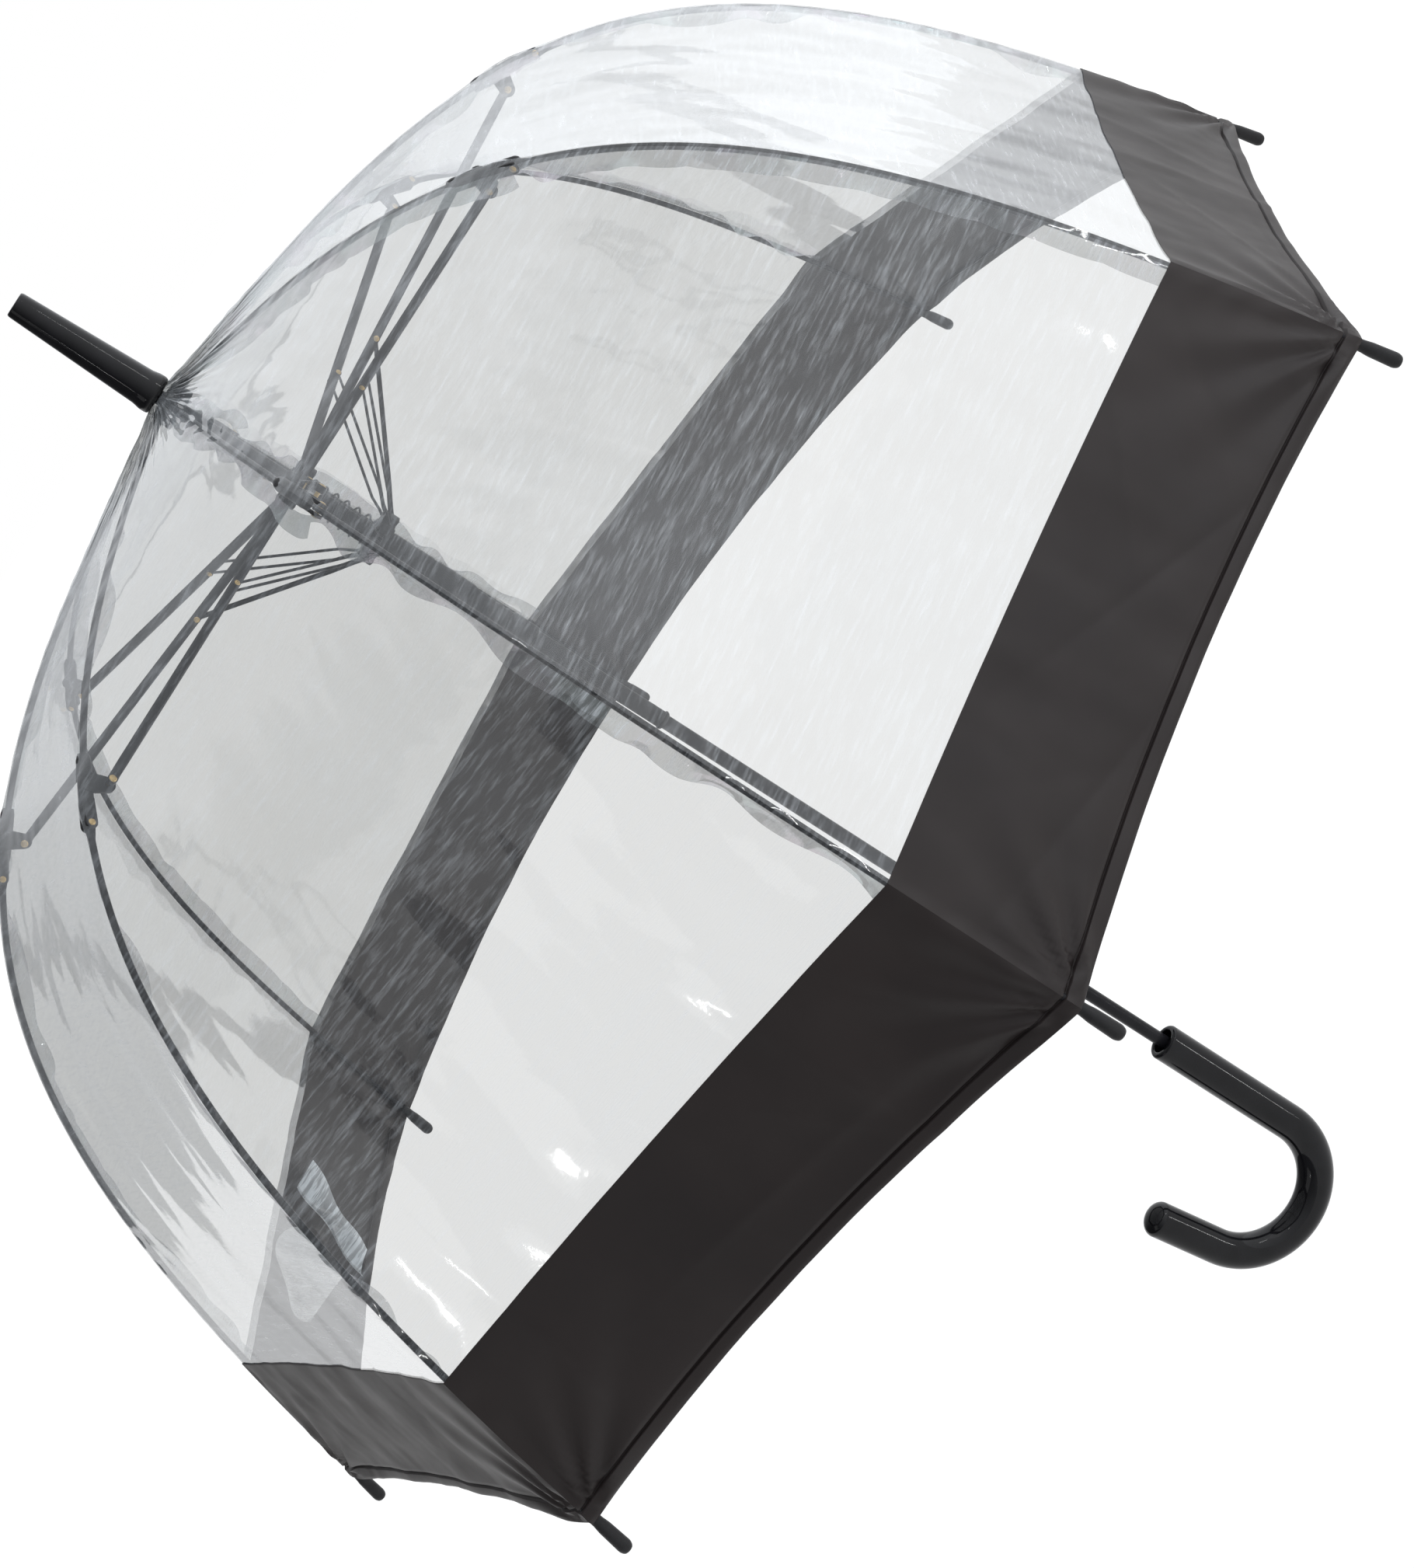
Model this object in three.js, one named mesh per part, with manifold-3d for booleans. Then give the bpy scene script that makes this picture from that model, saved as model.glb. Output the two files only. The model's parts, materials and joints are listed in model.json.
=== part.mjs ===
// Clear bubble umbrella with an automatic opening frame and a crook handle, standing open.
// Units are millimetres. The shaft lies along +Z with the ferrule up, and the origin is on the
// shaft's axis in the middle of the handle's straight grip. The crook bends towards -Y, and the
// release button faces -X.
import * as THREE from "three";
import { mergeVertices } from "three/addons/utils/BufferGeometryUtils.js";
import Module from "manifold-3d";

const wasm = await Module();
wasm.setup();

// Driving dimensions.
const RIB_COUNT = 8;
const NOTCH_Z = 724;
const CLEARANCE = 0.35;

const SHAFT = { radius: 4, bore: 3.4, bottom: 2, top: 790 };
const FERRULE = { mouth: 7, flare: 10.8, shoulder: 14, root: 10.6, tip: 6.6, height: 91.6 };
const NOTCH = { radius: 11.5, low: -7, high: 4, slot: 4.2, slot_from: 6 };

// A rib's centre line is one cubic curve, in the plane of the rib: radius and height above the notch.
const RIB = { radius: 1.7, sides: 6, start: new THREE.Vector2(9, 1), eye: 2.1 };
const RIB_BEND = [new THREE.Vector2(287, -19.5), new THREE.Vector2(364, -95)];
const RIM = new THREE.Vector2(448, -404);


// Stations along a rib, measured from the notch's pivot.
const SLEEVE = { from: 220, to: 248, radius: 3.6, bore: 2.4 };
const LUG = { at: 236, drop: 10, inner: 1.6, outer: 3.8, half_length: 4 };
const ELBOW_AT = 257;
const CHEEK = { inner: 1.55, outer: 3.3, radius: 3.1 };
const ELBOW_EYE = { radius: 2.7, half_width: 1.2, neck: 5, half_neck: 1.5 };
const CAP = { from: 654, length: 28, neck: 2.7, head: 3.7, bore_depth: 11 };
const LOWER_RIB_END = 663;

const STRETCHER = { width: 5.6, depth: 4.6, wall: 0.9, neck: 7, web: 3 };
const STRETCHER_EYE = { radius: 2.5, half_width: 1.7, half_neck: 1.6 };
const STRETCHER_SIDE = 7.8;
const RIVET_SHARE = 0.345;
const STRUT = { wire: 0.8, spread: 4.3, root_spread: 1.6, bar: 1, eye: 2, eye_width: 1.5 };
const STRUT_BEND = { start: 0.075, end: 0.185, lap: 0.005 };

const CROWN = { pivot_r: 10, pivot_z: -77, radius: 12.5, half_height: 5, slot: 4.2, slot_from: 6.6 };
const COLLAR = { pivot_r: 14, pivot_z: -128, radius: 15.2, half_height: 4, slot: 6.4, slot_from: 11.6 };
const TUBE = { radius: 4.8, bore: 4.25, above_crown: 2 };

// The grip moulded on the runner's tube, its heights measured down from the grip's top end.
const RUNNER_GRIP = { radius: 6.8, top_bevel: 2, long_part: 52, end_radius: 6.2, end_low: 95, end_high: 80 };
const GRIP_RIBS = { count: 4, pitch: 5.2, first: 78, root: 5.3, crest: 5.9, rise: 1, land: 3.4, fall: 4.4 };

const SPRING = { radius: 7.7, wire: 0.65, turns: 5, steps_per_turn: 8 };
const FILM = { gap: 4.9, thickness: 0.7, from: 5, weld_at: 569, weld_gap: 0.6, hole: 6, stations: 13 };
const RIM_AT = 661;
const BORDER_STATIONS = 3;

const GRIP = { radius: 11, mouth_z: 48, cavity_radius: 7.6, cavity_floor: 30 };
const CROOK = { radius: 43, z: -51, tail: 42, lean: THREE.MathUtils.degToRad(6.6), end_flatness: 0.7 };
const BUTTON = { z: 27.5, height: 20, width: 8, inner: -9.4, outer: -13, corner: -10.8, pocket: -6.2 };
const BUTTON_GAP = 0.8;
const LATCH = { hook_z: 33, hook_height: 2.4, hook_reach: -5.15, hook_width: 6 };
const CATCH_RING = { radius: 5.5, foot: 4.9, height: 2, bevel: 0.8 };
const RETURN_SPRING = { z: 20.5, radius: 1.7, wire: 0.25, turns: 3 };

// The folded frame: where the connectors hang when the runner is all the way down.
const FOLDED_LUG_R = 22;

const ribLine = new THREE.CubicBezierCurve(RIB.start, RIB_BEND[0], RIB_BEND[1], RIM);
ribLine.arcLengthDivisions = 600;
const ribLength = ribLine.getLength();

// A point on the rib's centre line, as (radius, height above the notch), at a length along it.
function ribPoint(length) {
  const past = Math.max(length - ribLength, 0);
  return ribLine
    .getPointAt(Math.min(length / ribLength, 1))
    .addScaledVector(ribTangent(length), past);
}

function ribTangent(length) {
  return ribLine.getTangentAt(Math.min(length / ribLength, 1));
}

// The same point pushed out along the rib's normal, away from the shaft.
function ribOffset(length, distance) {
  const point = ribPoint(length);
  const along = ribTangent(length);
  return new THREE.Vector2(point.x - along.y * distance, point.y + along.x * distance);
}

// Linkage points in a rib's own plane.
const lugPivot = ribOffset(LUG.at, -LUG.drop);
const crownPivot = new THREE.Vector2(CROWN.pivot_r, CROWN.pivot_z);
const collarPivot = new THREE.Vector2(COLLAR.pivot_r, COLLAR.pivot_z);
const stretcherLength = lugPivot.distanceTo(crownPivot);
const rivetPoint = crownPivot.clone().lerp(lugPivot, RIVET_SHARE);
const hangLength = lugPivot.distanceTo(RIB.start);
const foldedLugZ = RIB.start.y - Math.sqrt(hangLength ** 2 - (FOLDED_LUG_R - RIB.start.x) ** 2);
const foldedCrownZ =
  foldedLugZ - Math.sqrt(stretcherLength ** 2 - (FOLDED_LUG_R - CROWN.pivot_r) ** 2);
const TRAVEL = CROWN.pivot_z - foldedCrownZ;

// Solids.
function solid(geometry) {
  const bare = geometry.index ? geometry.toNonIndexed() : geometry.clone();
  for (const name of Object.keys(bare.attributes)) {
    if (name !== "position") bare.deleteAttribute(name);
  }
  const merged = mergeVertices(bare, 1e-4);
  return new wasm.Manifold(
    new wasm.Mesh({
      numProp: 3,
      vertProperties: new Float32Array(merged.attributes.position.array),
      triVerts: new Uint32Array(merged.index.array),
    }),
  );
}

function geometryOf(manifold) {
  const mesh = manifold.getMesh();
  const geometry = new THREE.BufferGeometry();
  geometry.setAttribute("position", new THREE.BufferAttribute(mesh.vertProperties, 3));
  geometry.setIndex(new THREE.BufferAttribute(mesh.triVerts, 1));
  const flat = geometry.toNonIndexed();
  flat.computeVertexNormals();
  return flat;
}

function join(geometries) {
  return geometryOf(geometries.map(solid).reduce((all, next) => all.add(next)));
}

function cut(geometry, tools) {
  return geometryOf(tools.map(solid).reduce((left, tool) => left.subtract(tool), solid(geometry)));
}

function box(low, high) {
  const size = high.map((value, axis) => value - low[axis]);
  const middle = high.map((value, axis) => (value + low[axis]) / 2);
  return new THREE.BoxGeometry(...size).translate(...middle);
}

// A cylinder between two points.
function rod(start, end, radius, sides = 12) {
  const axis = end.clone().sub(start);
  const turn = new THREE.Quaternion().setFromUnitVectors(
    new THREE.Vector3(0, 1, 0),
    axis.clone().normalize(),
  );
  const middle = start.clone().add(end).multiplyScalar(0.5);
  return new THREE.CylinderGeometry(radius, radius, axis.length(), sides)
    .applyQuaternion(turn)
    .translate(middle.x, middle.y, middle.z);
}

// A solid of revolution about +Z from (radius, height) pairs.
function turned(profile, sides) {
  const points = profile.map(([radius, height]) => new THREE.Vector2(radius, height));
  return new THREE.LatheGeometry(points, sides).rotateX(Math.PI / 2);
}

// A tube about +Z: the profile closes on itself.
function ring(outer, inner, low, high, sides = 24) {
  const profile = [
    [inner, low],
    [outer, low],
    [outer, high],
    [inner, high],
    [inner, low],
  ];
  return turned(profile, sides);
}

function sweep(path, radius, sides, steps) {
  const section = new THREE.Shape();
  section.absarc(0, 0, radius, 0, 2 * Math.PI);
  return new THREE.ExtrudeGeometry(section, {
    extrudePath: path,
    steps,
    curveSegments: sides / 2,
    bevelEnabled: false,
  });
}

// A stretch of the rib's line as a path in the rib's plane.
class RibPath extends THREE.Curve {
  constructor(from, to) {
    super();
    this.from = from;
    this.to = to;
  }

  getPoint(t, target = new THREE.Vector3()) {
    const point = ribPoint(this.from + (this.to - this.from) * t);
    return target.set(point.x, 0, point.y);
  }
}

class Helix extends THREE.Curve {
  constructor(radius, low, high, turns) {
    super();
    Object.assign(this, { radius, low, high, turns });
  }

  getPoint(t, target = new THREE.Vector3()) {
    const angle = 2 * Math.PI * this.turns * t;
    const height = this.low + (this.high - this.low) * t;
    return target.set(this.radius * Math.cos(angle), this.radius * Math.sin(angle), height);
  }
}

const MATERIALS = {
  black_steel: { color: 0x1b1b1d, roughness: 0.35, metalness: 0.8 },
  black_plastic: { color: 0x141415, roughness: 0.4, metalness: 0 },
  gloss_plastic: { color: 0x0c0c0d, roughness: 0.12, metalness: 0 },
  spring_steel: { color: 0x2a2a2d, roughness: 0.3, metalness: 0.9 },
  clear_film: { color: 0xdfe2e2, roughness: 0.08, metalness: 0, transparent: true, opacity: 0.3 },
  black_vinyl: { color: 0x353334, roughness: 0.5, metalness: 0 },
};

function part(name, geometry, look) {
  const mesh = new THREE.Mesh(geometry, new THREE.MeshStandardMaterial(MATERIALS[look]));
  mesh.name = name;
  return mesh;
}

// Everything on one rib, drawn in the plane of the first rib.
function upperRib() {
  const path = new RibPath(0, SLEEVE.to - 1);
  const eye = rod(
    new THREE.Vector3(RIB.start.x, -RIB.radius, RIB.start.y),
    new THREE.Vector3(RIB.start.x, RIB.radius, RIB.start.y),
    RIB.eye,
    8,
  );
  return join([sweep(path, RIB.radius, RIB.sides, 7), eye]);
}

// The elbow at the connector's lower end, in the frame of the rib there: +X along the rib.
function atElbow(geometry) {
  const point = ribPoint(ELBOW_AT);
  const along = ribTangent(ELBOW_AT);
  return geometry.rotateY(-Math.atan2(along.y, along.x)).translate(point.x, 0, point.y);
}

// A sleeve on the upper rib, two cheeks for the elbow, and a lug on the inside for the stretcher.
function ribConnector() {
  const cheeks = [-1, 1].map((side) => {
    const near = Math.min(side * CHEEK.inner, side * CHEEK.outer);
    const far = Math.max(side * CHEEK.inner, side * CHEEK.outer);
    const start = SLEEVE.to - ELBOW_AT - 1;
    const web = box([start, near, -CHEEK.radius], [0, far, CHEEK.radius]);
    const round = rod(
      new THREE.Vector3(0, near, 0),
      new THREE.Vector3(0, far, 0),
      CHEEK.radius,
      8,
    );
    return atElbow(join([web, round]));
  });
  const lugRoot = ribOffset(LUG.at, -1);
  const lug = box([-LUG.half_length, LUG.inner, -LUG.drop], [LUG.half_length, LUG.outer, 0]);
  const along = ribTangent(LUG.at);
  lug.rotateY(-Math.atan2(along.y, along.x)).translate(lugRoot.x, 0, lugRoot.y);
  const lugEnd = rod(
    new THREE.Vector3(lugPivot.x, LUG.inner, lugPivot.y),
    new THREE.Vector3(lugPivot.x, LUG.outer, lugPivot.y),
    LUG.half_length,
    10,
  );
  const sleeve = sweep(new RibPath(SLEEVE.from, SLEEVE.to), SLEEVE.radius, 10, 2);
  const bore = sweep(new RibPath(SLEEVE.from - 5, SLEEVE.to + 5), SLEEVE.bore, 6, 4);
  return cut(join([sleeve, lug, lugEnd, ...cheeks]), [bore]);
}

function lowerRib() {
  const { radius, half_width, neck, half_neck } = ELBOW_EYE;
  const eye = rod(
    new THREE.Vector3(0, -half_width, 0),
    new THREE.Vector3(0, half_width, 0),
    radius,
    8,
  );
  const flat = box([0, -half_width, -half_neck], [neck + 1, half_width, half_neck]);
  const path = new RibPath(ELBOW_AT + neck, LOWER_RIB_END);
  return join([sweep(path, RIB.radius, RIB.sides, 9), atElbow(eye), atElbow(flat)]);
}

function tipCap() {
  const { length, neck, head, bore_depth } = CAP;
  const bore = RIB.radius + CLEARANCE;
  const profile = [
    [0, bore_depth],
    [bore, bore_depth],
    [bore, 0],
    [neck, 0],
    [neck + 0.2, 8],
    [head - 0.4, 11],
    [head, length - 3.5],
    [head * 0.6, length],
    [0, length],
  ];
  const along = ribTangent(CAP.from);
  const point = ribPoint(CAP.from);
  return turned(profile, 10)
    .rotateY(Math.PI / 2 - Math.atan2(along.y, along.x))
    .translate(point.x, 0, point.y);
}

const stretcherStart = new THREE.Vector3(crownPivot.x, 0, crownPivot.y);
const stretcherEnd = new THREE.Vector3(lugPivot.x, STRETCHER_SIDE, lugPivot.y);

// Turns a bar drawn along +X from the crown's pivot so that it ends at the connector's lug.
function alongStretcher(geometry) {
  const reach = stretcherEnd.clone().sub(stretcherStart);
  return geometry
    .rotateY(-Math.atan2(reach.z, reach.x))
    .applyMatrix4(new THREE.Matrix4().makeShear(reach.y / reach.x, 0, 0, 0, 0, 0))
    .translate(stretcherStart.x, stretcherStart.y, stretcherStart.z);
}

function stretcher() {
  const { width, depth, wall, neck, web } = STRETCHER;
  const { radius, half_width, half_neck } = STRETCHER_EYE;
  const side = width / 2;
  const low = -depth / 2;
  const high = depth / 2;
  const channelEnd = stretcherLength - neck;
  const lap = web / 2;
  const eyes = [0, stretcherLength].map((x) =>
    rod(new THREE.Vector3(x, -half_width, 0), new THREE.Vector3(x, half_width, 0), radius, 8),
  );
  const necks = [
    box([0, -half_width, -half_neck], [neck + lap, half_width, half_neck]),
    box([channelEnd - lap, -half_width, -half_neck], [stretcherLength, half_width, half_neck]),
  ];
  const channel = [
    box([neck, -side, low], [channelEnd, side, low + wall]),
    box([neck, -side, low], [channelEnd, wall - side, high]),
    box([neck, side - wall, low], [channelEnd, side, high]),
    box([neck, -side, low], [neck + web, side, high]),
    box([channelEnd - web, -side, low], [channelEnd, side, high]),
  ];
  return alongStretcher(join([...eyes, ...necks, ...channel]));
}

// A strut is one hairpin of wire: a cross bar in the collar and a leg on each side of a stretcher.
function strut() {
  const start = new THREE.Vector3(collarPivot.x, 0, collarPivot.y);
  const end = new THREE.Vector3(rivetPoint.x, STRETCHER_SIDE * RIVET_SHARE, rivetPoint.y);
  const reach = end.clone().sub(start);
  const at = (share, side) =>
    start.clone().addScaledVector(reach, share).add(new THREE.Vector3(0, side, 0));
  const { wire, spread, root_spread } = STRUT;
  const barSide = root_spread + 0.75 * wire;
  const bar = rod(at(0, -barSide), at(0, barSide), STRUT.bar, 6);
  const eyeSide = STRETCHER.width / 2 + 2 * CLEARANCE;
  const { start: bendStart, end: bendEnd, lap } = STRUT_BEND;
  const legs = [-1, 1].flatMap((side) => [
    rod(at(0, side * root_spread), at(bendStart + lap, side * root_spread), wire, 5),
    rod(at(bendStart - lap, side * root_spread), at(bendEnd, side * spread), wire, 5),
    rod(at(bendEnd - lap, side * spread), at(1, side * spread), wire, 5),
    rod(at(1, side * eyeSide), at(1, side * (eyeSide + STRUT.eye_width)), STRUT.eye, 8),
  ]);
  return join([bar, ...legs]);
}

// A disc with a slot for each rib, stretcher or strut.
function slotted(disc, inner, low, high) {
  const side = disc.slot / 2;
  const slots = Array.from({ length: RIB_COUNT }, (_, index) =>
    box([disc.slot_from, -side, low - 1], [disc.radius + 2, side, high + 1]).rotateZ(
      (index * 2 * Math.PI) / RIB_COUNT,
    ),
  );
  return cut(ring(disc.radius, inner, low, high, 24), slots);
}

function shaft() {
  return ring(SHAFT.radius, SHAFT.bore, SHAFT.bottom, SHAFT.top, 14);
}

function ferrule() {
  const { mouth, flare, shoulder, root, tip, height } = FERRULE;
  const bore = SHAFT.radius + CLEARANCE;
  const blind = SHAFT.top + 1 - NOTCH_Z;
  const profile = [
    [0, blind],
    [bore, blind],
    [bore, mouth],
    [flare - 0.6, mouth],
    [flare, mouth + 2],
    [root, shoulder],
    [tip + 0.7, height - 1.2],
    [tip, height],
    [0, height],
  ];
  return turned(profile, 18).translate(0, 0, NOTCH_Z);
}

function topNotch() {
  const disc = slotted(NOTCH, SHAFT.radius + CLEARANCE, NOTCH.low, NOTCH.high);
  return disc.translate(0, 0, NOTCH_Z);
}

function runnerDisc(disc) {
  const bore = TUBE.radius + CLEARANCE;
  return slotted(disc, bore, -disc.half_height, disc.half_height).translate(
    0,
    0,
    NOTCH_Z + disc.pivot_z,
  );
}

function openingSpring() {
  const margin = CLEARANCE + SPRING.wire;
  const low = NOTCH_Z + COLLAR.pivot_z + COLLAR.half_height + margin;
  const high = NOTCH_Z + CROWN.pivot_z - CROWN.half_height - margin;
  const path = new Helix(SPRING.radius, low, high, SPRING.turns);
  return sweep(path, SPRING.wire, 4, SPRING.turns * SPRING.steps_per_turn);
}

// The runner's tube from its crown down to the catch ring, with the moulded grip on it.
function runnerSleeve() {
  const top = NOTCH_Z + CROWN.pivot_z + CROWN.half_height + TUBE.above_crown;
  const catchTop = LATCH.hook_z - CLEARANCE + TRAVEL;
  const catchBottom = catchTop - CATCH_RING.height;
  const gripTop = NOTCH_Z + COLLAR.pivot_z - COLLAR.half_height - 1;
  const { radius, top_bevel, long_part, end_radius, end_low, end_high } = RUNNER_GRIP;
  const profile = [
    [TUBE.bore, catchBottom],
    [CATCH_RING.foot, catchBottom],
    [CATCH_RING.radius, catchTop - CATCH_RING.bevel],
    [CATCH_RING.radius, catchTop],
    [TUBE.radius, catchTop],
    [TUBE.radius, gripTop - end_low - 1],
    [end_radius, gripTop - end_low],
    [end_radius, gripTop - end_high],
  ];
  const { count, pitch, first, root, crest, rise, land, fall } = GRIP_RIBS;
  for (let index = 0; index < count; index += 1) {
    const low = gripTop - first + index * pitch;
    profile.push([root, low], [crest, low + rise], [crest, low + land], [root, low + fall]);
  }
  profile.push(
    [radius, gripTop - long_part],
    [radius, gripTop - top_bevel],
    [end_radius, gripTop],
    [TUBE.radius, gripTop],
    [TUBE.radius, top],
    [TUBE.bore, top],
    [TUBE.bore, catchBottom],
  );
  return turned(profile, 12);
}

// The handle's centre line: the straight grip, the crook, and the tail leaning out.
class CrookPath extends THREE.Curve {
  constructor() {
    super();
    this.grip = GRIP.mouth_z - CROOK.z;
    this.sweepAngle = Math.PI - CROOK.lean;
    this.arc = this.sweepAngle * CROOK.radius;
  }

  getPoint(t, target = new THREE.Vector3()) {
    const length = t * (this.grip + this.arc + CROOK.tail);
    if (length <= this.grip) return target.set(0, 0, GRIP.mouth_z - length);
    const turn = Math.min((length - this.grip) / CROOK.radius, this.sweepAngle);
    const past = Math.max(length - this.grip - this.arc, 0);
    const y = -CROOK.radius + CROOK.radius * Math.cos(turn) - past * Math.sin(turn);
    const z = CROOK.z - CROOK.radius * Math.sin(turn) - past * Math.cos(turn);
    return target.set(0, y, z);
  }
}

function handle() {
  const path = new CrookPath();
  const tail = path.getPoint(1);
  const before = path.getPoint(0.99);
  const along = tail.clone().sub(before).normalize();
  const dome = new THREE.SphereGeometry(GRIP.radius, 12, 6).scale(1, 1, CROOK.end_flatness);
  dome.applyQuaternion(
    new THREE.Quaternion().setFromUnitVectors(new THREE.Vector3(0, 0, 1), along),
  );
  dome.translate(tail.x, tail.y, tail.z);
  const body = join([sweep(path, GRIP.radius, 12, 28), dome]);
  const plug = (radius, low) =>
    rod(new THREE.Vector3(0, 0, low), new THREE.Vector3(0, 0, GRIP.mouth_z + 1), radius, 20);
  const half = BUTTON.height / 2 + BUTTON_GAP;
  const side = BUTTON.width / 2 + CLEARANCE;
  const low = [-GRIP.radius - 3, -side, BUTTON.z - half];
  const window = box(low, [BUTTON.pocket, side, BUTTON.z + half]);
  const shaftBore = plug(SHAFT.radius + CLEARANCE, 0);
  return cut(body, [shaftBore, plug(GRIP.cavity_radius, GRIP.cavity_floor), window]);
}

// A rocker: its lower half is pressed in, and its hook above then swings clear of the catch ring.
function releaseButton() {
  const side = BUTTON.width / 2;
  const half = BUTTON.height / 2;
  const pad = new THREE.Shape();
  pad.moveTo(BUTTON.inner, -half);
  pad.lineTo(BUTTON.inner, half);
  pad.lineTo(BUTTON.corner, half);
  pad.quadraticCurveTo(BUTTON.outer, 0.45 * half, BUTTON.outer, 0);
  pad.quadraticCurveTo(BUTTON.outer, -0.45 * half, BUTTON.corner, -half);
  const block = new THREE.ExtrudeGeometry(pad, {
    depth: BUTTON.width,
    bevelEnabled: false,
    curveSegments: 6,
  });
  block.rotateX(Math.PI / 2).translate(0, side, BUTTON.z);
  const hookTop = LATCH.hook_z + LATCH.hook_height;
  const hookSide = LATCH.hook_width / 2;
  const hookLow = [BUTTON.inner - 1, -hookSide, LATCH.hook_z];
  const hook = box(hookLow, [LATCH.hook_reach, hookSide, hookTop]);
  return join([block, hook]);
}

function buttonSpring() {
  const margin = CLEARANCE + RETURN_SPRING.wire;
  const low = BUTTON.inner + margin;
  const high = BUTTON.pocket - margin;
  const path = new Helix(RETURN_SPRING.radius, low, high, RETURN_SPRING.turns);
  return sweep(path, RETURN_SPRING.wire, 4, 7 * RETURN_SPRING.turns)
    .rotateY(Math.PI / 2)
    .translate(0, 0, RETURN_SPRING.z);
}

// A closed shell of flat gores, its corners on the ribs, between two lengths along the ribs. The
// start is a pair of points: the shell's inner and outer edge.
function goreShell(from, to, stations, start = []) {
  const inner = start.slice(0, 1);
  const outer = start.slice(1);
  for (let index = 0; index <= stations; index += 1) {
    const length = from + ((to - from) * index) / stations;
    const under = ribOffset(length, FILM.gap);
    const over = ribOffset(length, FILM.gap + FILM.thickness);
    inner.push([under.x, under.y]);
    outer.push([over.x, over.y]);
  }
  const profile = [...inner, ...outer.reverse(), inner[0]];
  return turned(profile, RIB_COUNT).translate(0, 0, NOTCH_Z);
}

function canopyFilm() {
  const under = RIB.start.y + FILM.gap;
  const start = [[FILM.hole, under], [FILM.hole, under + FILM.thickness]];
  return goreShell(FILM.from, FILM.weld_at - FILM.weld_gap / 2, FILM.stations, start);
}

function canopyBorder() {
  return goreShell(FILM.weld_at + FILM.weld_gap / 2, RIM_AT, BORDER_STATIONS);
}

const umbrella = new THREE.Group();

umbrella.add(
  part("shaft", shaft(), "black_steel"),
  part("ferrule", ferrule(), "gloss_plastic"),
  part("top_notch", topNotch(), "black_plastic"),
  part("runner_crown", runnerDisc(CROWN), "black_plastic"),
  part("runner_sleeve", runnerSleeve(), "black_plastic"),
  part("strut_collar", runnerDisc(COLLAR), "black_plastic"),
  part("opening_spring", openingSpring(), "spring_steel"),
  part("handle", handle(), "gloss_plastic"),
  part("release_button", releaseButton(), "black_plastic"),
  part("button_spring", buttonSpring(), "spring_steel"),
  part("canopy_film", canopyFilm(), "clear_film"),
  part("canopy_border", canopyBorder(), "black_vinyl"),
);

for (let index = 0; index < RIB_COUNT; index += 1) {
  const number = index + 1;
  const frame = new THREE.Group();
  frame.position.z = NOTCH_Z;
  frame.rotation.z = (index * 2 * Math.PI) / RIB_COUNT;
  frame.add(
    part(`upper_rib_${number}`, upperRib(), "black_steel"),
    part(`rib_connector_${number}`, ribConnector(), "black_plastic"),
    part(`lower_rib_${number}`, lowerRib(), "black_steel"),
    part(`tip_cap_${number}`, tipCap(), "black_plastic"),
    part(`stretcher_${number}`, stretcher(), "black_steel"),
    part(`strut_${number}`, strut(), "black_steel"),
  );
  umbrella.add(frame);
}

export default umbrella;
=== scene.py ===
import json
import math

import bmesh
import bpy
import numpy as np
from mathutils import Matrix, Vector


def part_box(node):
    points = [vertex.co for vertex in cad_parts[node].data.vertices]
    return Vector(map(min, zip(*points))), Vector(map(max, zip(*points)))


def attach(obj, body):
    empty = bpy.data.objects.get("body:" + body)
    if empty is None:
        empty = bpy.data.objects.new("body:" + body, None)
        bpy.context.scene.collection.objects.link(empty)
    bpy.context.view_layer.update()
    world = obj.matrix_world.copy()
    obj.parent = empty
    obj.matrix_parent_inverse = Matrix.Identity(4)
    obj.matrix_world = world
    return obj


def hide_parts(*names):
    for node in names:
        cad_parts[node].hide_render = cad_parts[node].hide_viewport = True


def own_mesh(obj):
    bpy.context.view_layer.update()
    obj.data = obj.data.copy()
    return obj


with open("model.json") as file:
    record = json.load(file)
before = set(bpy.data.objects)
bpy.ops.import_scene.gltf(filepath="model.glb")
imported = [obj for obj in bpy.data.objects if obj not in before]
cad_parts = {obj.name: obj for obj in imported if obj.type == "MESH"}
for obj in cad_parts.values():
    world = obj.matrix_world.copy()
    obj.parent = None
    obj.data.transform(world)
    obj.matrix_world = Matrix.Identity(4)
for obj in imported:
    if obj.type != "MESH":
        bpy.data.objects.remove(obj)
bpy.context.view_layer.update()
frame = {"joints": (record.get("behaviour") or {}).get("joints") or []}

# Lengths are metres. A rib's own plane has X out from the shaft, Y along the hoop and Z above the notch.
MM = 0.001
RIB_COUNT = 8
STEP = 2 * math.pi / RIB_COUNT
JOINTS = {joint["name"]: joint for joint in frame["joints"]}


def pivot(name):
    """A first rib's pivot as (radius, height above the notch)."""
    place = JOINTS[name]["pos_m"]
    return np.array([place[0], place[2] - NOTCH_Z])


RIB_START_HEIGHT = 1 * MM
NOTCH_Z = JOINTS["rib_hinge_1"]["pos_m"][2] - RIB_START_HEIGHT
RIB_START = pivot("rib_hinge_1")
ELBOW = pivot("rib_elbow_1")
CROWN = pivot("stretcher_hinge_1")
COLLAR = pivot("strut_hinge_1")

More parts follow.
